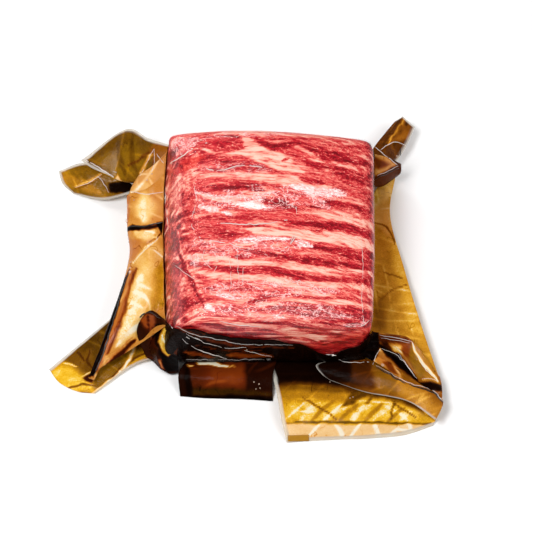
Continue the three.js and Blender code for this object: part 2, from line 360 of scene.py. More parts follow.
class Shading:
    """A material's nodes, made in one line each."""

    def __init__(self, name):
        self.material = bpy.data.materials.new(name)
        self.material.use_nodes = True
        self.tree = self.material.node_tree
        self.tree.nodes.clear()

    def node(self, kind, inputs=None, **settings):
        new = self.tree.nodes.new("ShaderNode" + kind)
        for key, value in settings.items():
            setattr(new, key, value)
        for key, value in (inputs or {}).items():
            if isinstance(value, Number):
                value = value.socket
            if isinstance(value, bpy.types.NodeSocket):
                self.tree.links.new(value, new.inputs[key])
            else:
                new.inputs[key].default_value = value
        return new

    def number(self, *details, output=0, **settings):
        """A new node's output, as a number."""
        return Number(self, self.node(*details, **settings).outputs[output])

    def value(self, name):
        return self.number("Attribute", attribute_name=name, output="Fac")

    def vector(self, name):
        return self.node("Attribute", attribute_name=name).outputs["Vector"]

    def math(self, operation, first, second, clamp=False):
        return self.number("Math", {0: first, 1: second}, operation=operation, use_clamp=clamp)

    def step(self, value, low, high):
        """An eased step from 0 at low to 1 at high."""
        inputs = {"Value": value, "From Min": low, "From Max": high}
        return self.number("MapRange", inputs, interpolation_type="SMOOTHSTEP")

    def noise(self, where, scale, detail=3.0, roughness=0.55):
        """Noise from 0 to 1 on coordinates in mm; scale is in cells per mm, the same or along each axis."""
        if not isinstance(scale, tuple):
            scale = (scale,) * 3
        scaled = self.node("VectorMath", {0: where, 1: scale}, operation="MULTIPLY").outputs[0]
        inputs = {"Vector": scaled, "Scale": 1.0, "Detail": detail, "Roughness": roughness}
        return self.number("TexNoise", inputs, output="Fac")

    def veins(self, where, scale, core, edge):
        """Thin branching veins: 1 on them and 0 away from them."""
        away = self.math("ABSOLUTE", self.noise(where, scale, 3.0, 0.6) - 0.5, 0)
        return self.step(away, edge, core)

    def ramp(self, factor, stops):
        """Colours along a factor; a stop is a place and a colour."""
        node = self.node("ValToRGB", {"Fac": factor})
        elements = node.color_ramp.elements
        while len(elements) < len(stops):
            elements.new(0.5)
        for element, (place, colour) in zip(elements, stops):
            element.position = place
            element.color = srgb(*colour)
        return node.outputs["Color"]

    def blend(self, factor, first, second):
        """A mix of two colours."""
        node = self.node("Mix", {0: factor, 6: first, 7: second}, data_type="RGBA")
        return node.outputs[2]

    def bump(self, height, strength, distance):
        inputs = {"Height": height, "Strength": strength, "Distance": distance}
        return self.node("Bump", inputs).outputs[0]

    def mixed(self, factor, first, second):
        return self.node("MixShader", {0: factor, 1: first, 2: second}).outputs[0]

    def finish(self, shader):
        self.node("OutputMaterial", {"Surface": shader})
        return self.material


MEAT_TONES = [  # from white fat to dark meat
    (0.00, (250, 200, 182)), (0.18, (244, 172, 152)), (0.34, (238, 134, 118)), (0.44, (226, 82, 80)),
    (0.53, (206, 38, 48)), (0.72, (176, 16, 34)), (1.00, (112, 4, 16)),
]
BLOODY_TONES = [(0.00, (244, 120, 96)), (0.35, (220, 48, 44)), (0.70, (176, 14, 22)), (1.00, (104, 2, 8))]
# Colours of the painted glare of light in the film, from a pink veil to white
GLARE_TONES = [(0.60, (255, 190, 186)), (0.85, (255, 236, 232)), (1.00, (255, 250, 248))]


def meat_material():
    """Moist marbled meat: painted marbling that fibres and fine veins of fat and lean break up.

    The film's glare and the glints along its fine creases are painted into the colour.
    """
    s = Shading("raw_beef")
    grain = s.vector("grain")
    haze = s.value("haze")
    streaks = s.noise(grain, (0.07, 0.50, 0.50), 4.0, 0.6)
    fibres = s.noise(grain, (0.28, 1.9, 1.9), 3.0, 0.65)
    flecks = s.step(s.noise(grain, (0.36, 1.25, 1.25), 2.0, 0.6), 0.55, 0.66)
    broken = s.value("marbling") + (streaks - 0.5) * 1.7 + (fibres - 0.5) * 0.60
    lean = s.step(broken, 0.44, 0.62)
    fat_veins = s.math("MAXIMUM", s.veins(grain, (0.05, 0.28, 0.28), 0.006, 0.026),
                       s.veins(grain, (0.11, 0.62, 0.62), 0.004, 0.026))
    lean_veins = s.veins(grain, (0.04, 0.36, 0.36), 0.002, 0.018)
    broken = broken - (fat_veins * 0.30 + flecks * 0.26) * lean + lean_veins * (1 - lean) * 0.20
    colour = s.blend(s.value("blood"), s.ramp(broken, MEAT_TONES), s.ramp(broken, BLOODY_TONES))
    # Painted reflection of the light in the film where it lifts: a pink veil, then white glare, then glints
    # along fine creases of the film.
    ragged = haze + (s.noise(grain, (0.45, 1.1, 1.0), 4.0, 0.75) - 0.5) * 2.2
    colour = s.blend(s.step(ragged, 0.2, 0.8) * 0.6, colour, srgb(240, 146, 146))
    colour = s.blend(s.step(ragged, 0.54, 0.90) * 0.90, colour, s.ramp(ragged, GLARE_TONES))
    creases = s.math("MAXIMUM", s.veins(grain, (0.07, 0.12, 0.2), 0.004, 0.014),
                     s.veins(grain, (0.15, 0.20, 0.3), 0.004, 0.014))
    colour = s.blend(creases * s.step(haze, 0.12, 0.30) * 0.85, colour, srgb(255, 214, 210))
    relief = s.bump(streaks + fibres, 0.25, 0.0005)
    shader = s.node("BsdfPrincipled", {
        "Base Color": colour, "Roughness": 0.4, "Specular IOR Level": 0.2, "Normal": relief,
        "Subsurface Weight": 0.06, "Subsurface Radius": (1.0, 0.35, 0.2), "Subsurface Scale": 0.002,
    })
    return s.finish(shader.outputs[0])


def clear_film_material():
    """Clear film that clings: see-through with a sharp gloss."""
    s = Shading("clear_film")
    ripples = s.bump(s.noise(s.vector("place"), (0.12, 0.3, 0.2), 4.0, 0.6), 0.5, 0.0012)
    see_through = s.node("BsdfTransparent", {"Color": (1, 1, 1, 1)})
    gloss = s.node("BsdfGlossy", {"Color": (1, 1, 1, 1), "Roughness": 0.09, "Normal": ripples})
    fresnel = s.number("Fresnel", {"IOR": 1.3, "Normal": ripples}) * 0.5
    return s.finish(s.mixed(s.math("MINIMUM", fresnel, 0.14), see_through.outputs[0], gloss.outputs[0]))


GOLD_TONES = [
    (0.00, (5, 2, 1)), (0.12, (26, 14, 2)), (0.30, (84, 54, 4)), (0.48, (142, 98, 10)),
    (0.64, (190, 132, 10)), (0.78, (232, 172, 10)), (0.90, (252, 208, 62)), (1.00, (255, 248, 210)),
]
RUST_TONES = [
    (0.00, (6, 1, 1)), (0.12, (32, 8, 3)), (0.30, (96, 32, 6)), (0.48, (156, 70, 16)),
    (0.64, (206, 126, 52)), (0.78, (234, 174, 104)), (0.90, (248, 212, 168)), (1.00, (255, 246, 226)),
]


def amber_film_material():
    """Glossy amber film: painted tones from black to cream, golden or rusty, with pale seals.

    The tones hold painted shade and highlights; creases get lighter tops and darker wrinkle lines.
    """
    s = Shading("amber_film")
    place = s.vector("place")
    tone, rust, seal = s.value("tone"), s.value("rust"), s.value("seal")
    mottle = s.noise(place, 0.13, 4.0, 0.62) - 0.5
    grain = s.noise(place, 1.3, 2.0, 0.6) - 0.5
    depth = tone * 0.8 + 0.08
    lit = tone + (mottle * 0.62 + grain * 0.52) * (1 - rust * 0.85) * depth
    sway = s.node("TexNoise", {"Vector": place, "Scale": 0.06}).outputs["Color"]
    bent = s.node("VectorMath", {0: place, 1: sway, 2: (9, 9, 9)}, operation="MULTIPLY_ADD").outputs[0]
    edges = s.number("TexVoronoi", {"Vector": bent, "Scale": 0.045}, feature="DISTANCE_TO_EDGE",
                     output="Distance")
    # Painted light on the crumples: lighter along the tops of creases as painted highlights, darker along
    # the wrinkle lines as painted shade.
    wrinkles = s.step(edges, 0.022, 0.004) * s.step(s.noise(place, 0.07, 2.0), 0.46, 0.58)
    lit = s.math("ADD", lit, (s.value("crest") - wrinkles) * (depth * 0.26), clamp=True)
    colour = s.blend(rust, s.ramp(lit, GOLD_TONES), s.ramp(lit, RUST_TONES))
    colour = s.blend(seal * 0.8, colour, srgb(235, 231, 222))
    ripples = s.bump(s.noise(place, 0.30, 4.0, 0.65), 0.5, 0.0011)
    # Dark tones, painted shade among them, take a copy of the film that hardly reflects; light tones a
    # glossier one.
    dull, bright = (
        s.node("BsdfPrincipled", {
            "Base Color": colour, "Roughness": 0.10, "Specular IOR Level": gloss, "Normal": ripples,
        }).outputs[0] for gloss in (0.015, 0.16)
    )
    solid = s.mixed(s.step(lit, 0.15, 0.6), dull, bright)
    tint = s.blend(seal, srgb(242, 190, 74), srgb(252, 248, 240))
    see_through = s.node("BsdfTransparent", {"Color": tint}).outputs[0]
    share = s.math("ADD", s.math("MULTIPLY", lit - 0.3, 0.3, clamp=True), seal * 0.45, clamp=True)
    return s.finish(s.mixed(share, solid, see_through))


def plain_gloss_material(name, colour, roughness, see_through, cells):
    """A small glossy thing of one colour, a little uneven, such as a crease, a drop or a printed field."""
    s = Shading(name)
    place = s.node("TexCoord").outputs["Object"]
    uneven = s.noise(place, cells / MM, 2.0)
    darker = tuple(channel * 0.8 for channel in srgb(*colour)[:3]) + (1.0,)
    solid = s.node("BsdfPrincipled", {
        "Base Color": s.blend(uneven, darker, srgb(*colour)),
        "Roughness": roughness, "Specular IOR Level": 0.6, "Alpha": 1 - see_through,
    })
    return s.finish(solid.outputs[0])


MEAT = meat_material()
CLEAR = clear_film_material()
AMBER = amber_film_material()
# Pale crease ridges are painted highlights, glints of light along creases of the film; dark ones are painted
# shade in folds and under edges.
CREASE_HIGHLIGHT = plain_gloss_material("crease_highlight", (255, 246, 240), 0.15, 0.15, 0.4)
CREASE_SHADOW = plain_gloss_material("crease_shadow", (8, 3, 1), 0.3, 0.0, 0.4)
# Water drops, pale and partly opaque: real drops with painted highlights.
WATER_AND_GLINT = plain_gloss_material("water_bead_glint", (255, 226, 200), 0.04, 0.65, 0.8)
GOLD_FIELD = plain_gloss_material("gold_field", (176, 122, 10), 0.3, 0.0, 0.6)

# ---- The meat ----
# Bands and patches of the marbling, painted one over another: how lean (0 is white fat and 1 dark meat),
# half width in mm, strength, and the course of the middle line. Some of the last rows paint light and shade.
MARBLING = [
    # broad fat
    (0.06, 5, 0.9, 238, 150, 262, 153, 285, 162, 303, 172),
    (0.12, 3.4, 0.8, 240, 136, 252, 145, 262, 155),
    (0.1, 3.8, 0.85, 238, 173, 270, 178, 297, 184, 330, 188),
    (0.22, 4.6, 0.8, 197, 150, 191, 166, 183, 184, 175, 204),
    (0.12, 3, 0.9, 298, 211, 335, 217, 372, 228, 420, 240),
    (0.06, 3.8, 0.95, 240, 229, 288, 234, 334, 238, 372, 247, 420, 258),
    (0.1, 2.3, 0.9, 160, 254, 181, 257, 257, 263, 318, 267, 372, 276, 420, 286),
    (0.1, 3, 0.9, 190, 272, 242, 278, 300, 283, 372, 290, 420, 300),
    (0.14, 2.2, 0.9, 280, 301, 330, 303, 372, 309, 420, 316),
    (0.25, 2.8, 0.7, 238, 314, 265, 316, 292, 322),
    (0.18, 3.2, 0.85, 228, 325, 288, 329, 320, 341),
    (0.06, 1.9, 0.9, 192, 191, 216, 198, 238, 199, 273, 193),
    (0.02, 2.1, 0.9, 234, 203, 252, 204, 273, 206),
    (0.1, 2.2, 0.8, 196, 204, 222, 210, 240, 214),
    (0.16, 2.2, 0.7, 196, 177, 220, 177, 246, 179),
    (0.14, 2, 0.8, 352, 155, 372, 163, 400, 178),
    # lean
    (0.95, 3.4, 0.95, 254, 138, 268, 145, 277, 148, 296, 146),
    (0.9, 3.2, 0.95, 294, 141, 318, 152, 345, 159, 375, 173, 400, 190),
    (0.8, 1.1, 0.9, 318, 144, 345, 147, 373, 150),
    (0.88, 4, 0.9, 308, 163, 330, 166, 352, 174, 373, 186, 400, 205),
    (0.8, 1.5, 0.8, 338, 178, 356, 187, 373, 197),
    (0.86, 3.2, 0.9, 201, 152, 222, 160, 252, 164, 280, 171),
    (0.95, 2.9, 0.95, 208, 187, 230, 189, 250, 188, 264, 192),
    (0.85, 2.1, 0.9, 298, 180, 310, 181, 326, 184),
    (0.95, 2.4, 0.9, 262, 200, 280, 203, 298, 207),
    (0.88, 2.6, 0.9, 309, 206, 330, 204, 350, 207, 373, 216, 400, 226),
    (0.97, 2.7, 0.95, 284, 222, 315, 225, 345, 229, 373, 238, 410, 250),
    (0.7, 2, 0.8, 192, 226, 220, 228, 252, 231),
    (0.72, 2, 0.8, 190, 235, 225, 234, 262, 238),
    (0.92, 2.7, 0.9, 310, 247, 335, 250, 355, 256, 373, 265, 410, 276),
    (0.92, 2.5, 0.9, 232, 249, 270, 255, 315, 261, 350, 266, 373, 272, 410, 282),
    (0.7, 2, 0.8, 178, 252, 205, 251, 238, 251),
    (0.9, 2.7, 0.9, 176, 263, 225, 269, 270, 271, 318, 277, 373, 286, 410, 296),
    (0.8, 1, 0.9, 244, 293, 300, 297, 373, 305),
    (0.86, 1.6, 0.85, 221, 311, 250, 303, 278, 295),
    (0.9, 4.4, 0.92, 268, 309, 300, 311, 335, 313, 373, 320, 410, 330),
    (0.66, 1.6, 0.7, 297, 326, 330, 328, 368, 331),
    (0.75, 1.1, 0.8, 196, 283, 225, 288, 252, 290),
    (0.85, 1, 0.9, 283, 160, 292, 157),
    (0.74, 2, 0.8, 196, 218, 225, 218, 262, 214),
    (0.72, 2, 0.75, 196, 171, 214, 168, 232, 170),
    (0.64, 3, 0.7, 200, 140, 222, 146, 238, 139),
    # the left side and the front
    (0.3, 11, 0.6, 170, 172, 173, 186, 180, 203),
    (0.3, 8, 0.7, 186, 168, 188, 180, 186, 196),
    (0.22, 2.4, 0.7, 176, 321, 200, 328, 225, 333),
    (0.66, 2.2, 0.7, 174, 327, 200, 336, 225, 340),
    (0.18, 3, 0.75, 285, 334, 310, 337, 334, 340),
    (0.2, 2, 0.7, 345, 335, 360, 332, 374, 328),
    (0.8, 3, 0.8, 222, 335, 255, 339, 285, 344),
    (0.92, 3.4, 0.85, 300, 346, 325, 350, 345, 344, 372, 335),
    (0.25, 1.6, 0.8, 322, 344, 342, 339, 362, 333),
    # The wide lean row darkens the left side, as leaner meat and as painted shade. Beside the diagonal fold
    # of the film the pale row is a painted highlight and the dark row painted shade; the last row darkens
    # the meat along the fold at the top left corner.
    (0.84, 8, 0.7, 168, 232, 171, 262, 177, 300, 184, 316),
    (0.25, 1, 0.8, 174, 224, 182, 248, 193, 277, 207, 306),
    (1, 1.6, 0.95, 169, 222, 178, 248, 189, 277, 203, 308),
    (0.8, 1.2, 0.8, 168, 167, 184, 159, 197, 151, 207, 145),
]
# Where blood gathers under the film: half width in mm, strength and course.
BLOOD = [
    (8, 0.95, 176, 326, 225, 340, 262, 345, 300, 348),
    (12, 0.95, 292, 345, 315, 350, 335, 350, 356, 340, 374, 330),
    (4, 0.9, 168, 174, 184, 166, 204, 155),
    (1.6, 0.6, 168, 186, 169, 225, 172, 262),
    (1.6, 0.5, 193, 176, 192, 200, 186, 232),
]
# Painted glare of the light in the film where it lifts: half width in mm, strength and course.
FILM_GLARE = [
    (4.4, 0.79, 292, 187, 318, 192, 346, 196),
    (3, 0.55, 305, 196, 322, 203, 330, 208),
    (2.4, 0.62, 196, 192, 222, 198, 252, 199, 275, 192),
    (2.2, 0.95, 237, 203, 254, 204, 271, 206),
    (2.6, 0.75, 199, 204, 210, 206, 219, 210),
    (2, 0.75, 222, 210, 232, 214),
    (2.8, 0.74, 234, 240, 262, 239, 290, 240),
    (3, 0.8, 294, 243, 303, 244, 312, 246),
    (2, 0.5, 252, 247, 280, 250),
    (5, 0.42, 266, 310, 300, 312, 330, 312, 350, 316),
    (2.4, 0.7, 272, 315, 284, 318),
    (4, 0.4, 252, 283, 285, 286, 318, 290, 340, 292),
    (2.6, 0.75, 214, 294, 226, 296, 238, 298),
    (2.2, 0.8, 204, 305, 208, 309, 214, 312),
    (6, 0.45, 172, 150, 184, 145, 198, 138),
    (3, 0.35, 186, 245, 200, 243, 214, 242),
    (4, 0.32, 200, 140, 240, 134, 300, 134),
    (4, 0.3, 188, 258, 200, 262, 214, 262),
    (2.2, 0.45, 344, 326, 356, 326, 366, 321),
    (9, 0.28, 200, 200, 250, 200, 300, 195, 345, 195),
    (8, 0.28, 195, 245, 240, 250, 300, 246),
    (9, 0.28, 205, 290, 260, 290, 330, 290),
    (7, 0.22, 200, 168, 240, 168, 270, 170),
    (8, 0.28, 210, 310, 280, 312, 350, 316),
]
SIDE_SHADE_AND_LEAN, FRONT_LEAN = 0.30, 0.27  # how much darker the sides are than the top, as leaner meat and painted shade, and how much leaner the front is
EVEN_LEAN = 0.46
GRAIN_DIP = (0.08, 0.0009)  # how the grain dips towards the right, evenly and more and more
# Noise along the grain: its amount, its cells in mm along the grain, across it and into the block, its seed
# and its octaves.
BANDS = (0.34, (24, 3.2, 12), 11, 2)
THREADS = (0.12, (8, 1.6, 6), 12)
SIDE_PATCHES = (0.8, (10, 2.6, 8), 15, 2)
FRONT_PATCHES = (0.75, (11, 2.2, 8), 16, 2)
RAGGED_EDGES = (0.42, (9, 1.5, 6), 13, 2)
LUMPS = (0.12, (6, 1.8, 4), 14)


def unfolded(points, normals):
    """Coordinates along the grain, across it and into the block, carried on over the edges of its top."""
    drop = np.maximum(0, on_top(points) - points[:, 2])
    sideways = normals[:, 0] ** 2 / np.maximum(normals[:, 0] ** 2 + normals[:, 1] ** 2, 1e-6)
    s = points[:, 0] + np.sign(points[:, 0]) * drop * sideways
    t = points[:, 1] + np.sign(points[:, 1]) * drop * (1 - sideways)
    return np.stack([s, t, points[:, 2]], axis=1)


def on_top(points):
    """Height of the block's top over each point."""
    a = np.clip(points[:, 0] / RIGHT[2], -1, 1)
    b = np.clip(points[:, 1] / BACK[2], -1, 1)
    return FOOT + HEIGHT + BACK_RISE * b - (CROWN_FALL + b * BACK_RISE / 2) * (a - CROWN_PLACE) ** 2


class Painter:
    """Finds the place along the grain that a pixel of the picture shows."""

    def __init__(self, points, normals, grain):
        seen = np.einsum("ij,ij->i", normals, eye() - points) > 0
        self.spots, self.grain = in_picture(points[seen]), grain[seen]

    def at(self, course):
        pixels = pairs(course)
        nearest = [np.argmin(np.linalg.norm(self.spots - pixel, axis=1)) for pixel in pixels]
        beyond = pixels - self.spots[nearest]
        beyond[np.linalg.norm(beyond, axis=1) < 4] = 0
        per_pixel = DISTANCE / FOCAL
        return self.grain[nearest][:, :2] + beyond * (per_pixel, -per_pixel)


def stroke_share(spots, path, half_width, wobble):
    """How much a stroke covers each spot, with a ragged edge and ends that thin out."""
    away, passed = from_path(spots, path)
    width = half_width * (0.15 + 0.85 * np.sin(np.pi * np.clip(passed, 0.02, 0.98)) ** 0.6)
    return smooth(1.35, 0.65, away / width + wobble)


def make_meat():
    cube, faces = cube_grid(MEAT_GRID)
    points = on_block(unit_from_cube(cube))
    normals = normals_of(points, faces)
    grain = unfolded(points, normals)
    painter = Painter(points, normals, grain)
    warped = grain + 1.6 * np.stack([noise(grain, (16, 7, 14), seed) for seed in (3, 4, 5)], axis=1)
    fibres = warped.copy()
    fibres[:, 1] += warped[:, 0] * (GRAIN_DIP[0] + GRAIN_DIP[1] * warped[:, 0])
    wobble = layered(fibres, *RAGGED_EDGES)

    def covered(half_width, strength, course):
        return strength * stroke_share(warped[:, :2], painter.at(course), half_width, wobble)

    marbling = EVEN_LEAN + layered(fibres, *BANDS) + layered(fibres, *THREADS)
    # The sides are painted darker: leaner meat and painted shade.
    marbling += smooth(0.3, 0.9, np.abs(normals[:, 0])) * (SIDE_SHADE_AND_LEAN + layered(fibres, *SIDE_PATCHES))
    marbling += smooth(0.3, 0.9, -normals[:, 1]) * (FRONT_LEAN + layered(fibres, *FRONT_PATCHES))
    for lean, half_width, strength, *course in MARBLING:
        marbling += (lean - marbling) * covered(half_width, strength, course)
    # Blood, and the painted glare of light in the film.
    blood, haze = (
        np.max([covered(half_width, strength, course) for half_width, strength, *course in strokes], axis=0)
        for strokes in (BLOOD, FILM_GLARE)
    )
    relief = 0.22 * (0.5 - marbling) + layered(warped, *LUMPS) - 0.12
    sides = smooth(-0.95, -0.8, cube[:, 2])
    points = points + normals * (relief * sides)[:, None]
    add_piece("marbled_meat", points, faces, MEAT, "raw_beef", "beef_block",
              grain=fibres, marbling=marbling, blood=blood, haze=haze)
    return painter


# ---- The clear film over the meat ----
# Folds of the clear film: height in mm, half width in mm, and course.
CLEAR_FOLDS = [
    (1.7, 1.9, 168, 166, 182, 157, 196, 148, 207, 142),
    (0.5, 1.2, 168, 221, 176, 246, 188, 278, 202, 309),
    (0.4, 1, 202, 309, 214, 318, 238, 325, 262, 327),
    (0.3, 0.9, 202, 168, 222, 170, 240, 166, 266, 168),
    (0.3, 0.9, 207, 222, 240, 224, 264, 224, 288, 220),
]


def make_clear_film(painter):
    cube, faces = cube_grid(CLEAR_GRID)
    unit = unit_from_cube(cube)
    points = on_block(unit, CLEAR_GAP)
    normals = normals_of(points, faces)
    grain = unfolded(points, normals)
    lift = 0.12 * (1 - np.abs(noise(grain, (14, 6, 10), 22, 2)))
    for height, half_width, *course in CLEAR_FOLDS:
        away, passed = from_path(grain[:, :2], painter.at(course))
        ends = np.sin(np.pi * np.clip(passed, 0.05, 0.95)) ** 0.5
        lift = np.maximum(lift, height * ends * np.exp(-((away / half_width) ** 2)))
    above_cup = smooth(4, 10, points[:, 2])
    points = points + normals * (lift * above_cup)[:, None]
    add_piece("clear_front_film", points, faces, CLEAR, "clear_film", place=grain)
    FILMS.append((points, faces))


# ---- The amber back film ----
FILMS = []  # surfaces that creases and drops lie on


def wall_rail(bearings, heights, count=5):
    """Points in the middle of the cup's wall, from one bearing in degrees and height to another."""
    bearing, height = np.radians(np.linspace(*bearings, count)), np.linspace(*heights, count)
    return on_block(unit_from_angles(bearing, slope_at(height)), MID_WALL).tolist()


def rim_rail(start, end, count=5):
    """Points in the middle of the cup's wall just under its rim, between two bearings in degrees."""
    bearing = np.radians(np.linspace(start, end, count))
    return on_block(unit_from_angles(bearing, slope_at(rim_height(bearing) - RIM_EASE)), MID_WALL).tolist()


def line(tone, rust, half_width, *course):
    """A painted line: its tone, how rusty it is, its half width in pixels, and its course."""

    def share(spots):
        away, passed = from_path(spots, pairs(course))
        thin = 0.5 + 0.5 * np.sin(np.pi * np.clip(passed, 0, 1)) ** 0.5
        return smooth(1.5, 0.5, away / (half_width * thin))

    return tone, rust, share


def area(tone, rust, softness, *outline):
    """A painted area: its tone, how rusty it is, how soft its edge is in pixels, and its outline."""
    return tone, rust, lambda spots: smooth(-softness / 2, softness / 2, inside_by(spots, pairs(outline)))


def painted(points, tone, rust, strokes):
    """Tone and rust at points, after strokes over an even ground.

    The strokes paint shade, highlights and glints as well as the film's depth of colour.
    """
    spots = swayed(in_picture(points), points, 1.1, (31, 32))
    tones, rusts = np.full(len(points), float(tone)), np.full(len(points), float(rust))
    for to_tone, to_rust, share in strokes:
        covered = share(spots)
        tones += (to_tone - tones) * covered
        rusts += (to_rust - rusts) * covered
    return tones, rusts


def shell(middle, thickness):
    """A closed thin shell round a grid of points, as points and quads."""
    rows, columns = middle.shape[:2]
    down = np.gradient(middle, axis=0)
    over = np.gradient(middle, axis=1)
    normal = np.cross(over, down)
    normal /= np.maximum(np.linalg.norm(normal, axis=2, keepdims=True), 1e-9)
    points = np.concatenate([(middle + normal * thickness / 2).reshape(-1, 3),
                             (middle - normal * thickness / 2).reshape(-1, 3)])
    index = np.arange(rows * columns).reshape(rows, columns)
    upper = np.stack([index[:-1, :-1], index[:-1, 1:], index[1:, 1:], index[1:, :-1]], axis=-1)
    upper = upper.reshape(-1, 4)
    lower = upper[:, ::-1] + rows * columns
    border = np.concatenate([index[0], index[1:, -1], index[-1, -2::-1], index[-2:0:-1, 0]])
    following = np.roll(border, -1)
    walls = np.stack([following, border, border + rows * columns, following + rows * columns], axis=1)
    return points, np.concatenate([upper, lower, walls])


def crumpled(points, amount, seed):
    """Straight sharp creases that come and go: a height at each point, and how near to a crease's top it is.

    The nearness lightens the film's colour as a painted highlight.
    """
    draw = np.random.default_rng(seed)
    height, crest = np.zeros(len(points)), np.zeros(len(points))
    for k, spacing in enumerate(CREASE_SPACINGS):
        across = draw.normal(size=3)
        across /= np.linalg.norm(across)
        phase = points @ across / spacing + draw.uniform() + 0.2 * noise(points, 40, seed + k)
        away = np.abs(phase - np.round(phase)) * spacing
        present = smooth(0.0, 0.45, noise(points, 1.4 * spacing, seed + 20 + k))
        crease = np.maximum(0, 1 - away / (CREASE_HALF_WIDTH * spacing))
        height += amount * present * crease * spacing / CREASE_SPACINGS[0]
        crest = np.maximum(crest, present * smooth(1.1, 0.2, away))
    return height, crest


def make_sheet(name, rails, tone, rust, strokes, seals=(0, 0, 0), crumple=0.7, creased=False, seed=1):
    """A sheet of back film over rails that follow one another outwards, painted and crumpled.

    seals are the widths in mm of the pale margins at its start, its outer edge and its end.
    """
    lengths = [np.linalg.norm(np.diff(np.array(rail, float), axis=0), axis=1).sum() for rail in rails]
    along = int(max(lengths) / FILM_STEP)
    courses = np.array([through_knots(rail, np.linspace(0, 1, along + 1), creased) for rail in rails])
    reach = np.linalg.norm(np.diff(courses, axis=0), axis=2).sum(axis=0).max()
    across = int(reach / FILM_STEP)
    middle = through_knots(courses, np.linspace(0, 1, across + 1))
    flat = middle.reshape(-1, 3)
    out = np.repeat(np.linspace(0, 1, across + 1), along + 1)
    down, over = np.gradient(middle, axis=0), np.gradient(middle, axis=1)
    normal = np.cross(over, down).reshape(-1, 3)
    normal /= np.maximum(np.linalg.norm(normal, axis=1, keepdims=True), 1e-9)
    height, crest = crumpled(flat, crumple, seed)
    flat = flat + normal * (height * smooth(0, 0.12, out))[:, None]
    flat[:, 2] = np.maximum(flat[:, 2], FILM_THICKNESS / 2)
    middle = flat.reshape(middle.shape)
    points, faces = shell(middle, FILM_THICKNESS)
    tones, rusts = painted(points, tone, rust, strokes)
    start, outer, end = seals
    passed_over = np.cumsum(np.linalg.norm(np.diff(middle, axis=1, prepend=middle[:, :1]), axis=2), axis=1)
    passed_down = np.cumsum(np.linalg.norm(np.diff(middle, axis=0, prepend=middle[:1]), axis=2), axis=0)
    ragged = 0.25 * noise(flat, 6, seed + 2, 2).reshape(middle.shape[:2])
    seal = np.zeros(middle.shape[:2])
    left_over, left_down = passed_over[:, -1:] - passed_over, passed_down[-1] - passed_down
    for width, distance in ((start, passed_over), (outer, left_down), (end, left_over)):
        if width:
            seal = np.maximum(seal, smooth(width + 0.5, width - 0.5, distance + ragged))
    seal = np.tile(seal.ravel(), 2)
    add_piece(name, points, faces, AMBER, "amber_film", "pouch_film",
              tone=tones, rust=rusts, seal=seal, crest=np.tile(crest, 2), place=points)
    FILMS.append((points, faces))


def make_cup():
    """The back film under and round the block, with upright wrinkles in its wall."""
    around, upright = CUP_GRID
    bearing = crowded(np.arange(around) * 360 / around)
    slopes = crowded(np.linspace(-90, 90, upright + 1)[1:])
    bearings, slopes = np.meshgrid(bearing, slopes)
    slopes = np.minimum(slopes, slope_at(rim_height(bearings)))
    unit = unit_from_angles(bearings, slopes)
    lip = smooth(3, 0.5, rim_height(bearings) - on_block(unit)[..., 2])
    sides, crests = [], []
    for grow in (CUP_GAP + FILM_THICKNESS / 2, CUP_GAP - FILM_THICKNESS / 2 - LIP_CLING * lip):
        ring = on_block(unit, grow)
        outward = np.stack([np.cos(bearings), np.sin(bearings), np.zeros_like(bearings)], axis=-1)
        flat = ring.reshape(-1, 3)
        wrinkle = 1 - np.abs(noise(flat * (1, 1, WRINKLE_STRETCH), WRINKLE_CELLS, 41, 2))
        lift = WRINKLE_HEIGHT * np.maximum(0, wrinkle - 0.35) * smooth(2, 14, flat[:, 2]) * (1 - lip.ravel())
        sides.append((flat + outward.reshape(-1, 3) * lift[:, None]).reshape(ring.shape))
        # The tops of the wrinkles get a painted highlight.
        crests.append(smooth(0.84, 0.98, wrinkle))
    outside, inside = sides
    rows = len(outside)
    centres = [side[0].mean(axis=0) for side in sides]
    points = np.concatenate([outside.reshape(-1, 3), inside[::-1].reshape(-1, 3), centres])
    index = np.arange(2 * rows * around).reshape(2 * rows, around)
    following = np.roll(index, -1, axis=1)
    quads = np.stack([index[:-1], following[:-1], following[1:], index[1:]], axis=-1).reshape(-1, 4)
    outer_pole, inner_pole = len(points) - 2, len(points) - 1
    fans = [(outer_pole, following[0, k], index[0, k]) for k in range(around)]
    fans += [(inner_pole, index[-1, k], following[-1, k]) for k in range(around)]
    # The cup's ground is near black: film over the dark meat, in painted shade.
    tones, rusts = painted(points, 0.03, 0.7, CUP_PAINT)
    add_piece("film_cup", points, [*quads.tolist(), *fans], AMBER, "amber_film", "pouch_film",
              tone=tones, rust=rusts, seal=np.zeros(len(points)), place=points,
              crest=np.concatenate([crests[0], crests[1].reshape(rows, -1)[::-1].ravel(), [0, 0]]))
    FILMS.append((points, quads))


# In these lists the tones paint light and shade as well as the film's depth of colour: much of the near
# black is painted shade in folds, gaps and under the meat, and the pale gold and cream painted highlights
# and glints. On the cup: pinkish painted glimmers along the apron under the front, and a black painted
# shadow at its front right corner.
CUP_PAINT = [
    line(0.6, 0.95, 6, 164, 150, 165, 240, 165, 318),
    line(0.24, 1, 1.6, 176, 327, 200, 337, 241, 346, 293, 347),
    line(0.34, 1, 1.6, 183, 352, 200, 355, 215, 357),
    line(0.4, 1, 2.6, 227, 355, 250, 356, 272, 356),
    line(0.2, 1, 1, 196, 346, 226, 350, 262, 351),
    line(0, 0.6, 6, 362, 356, 372, 345, 378, 334),
]

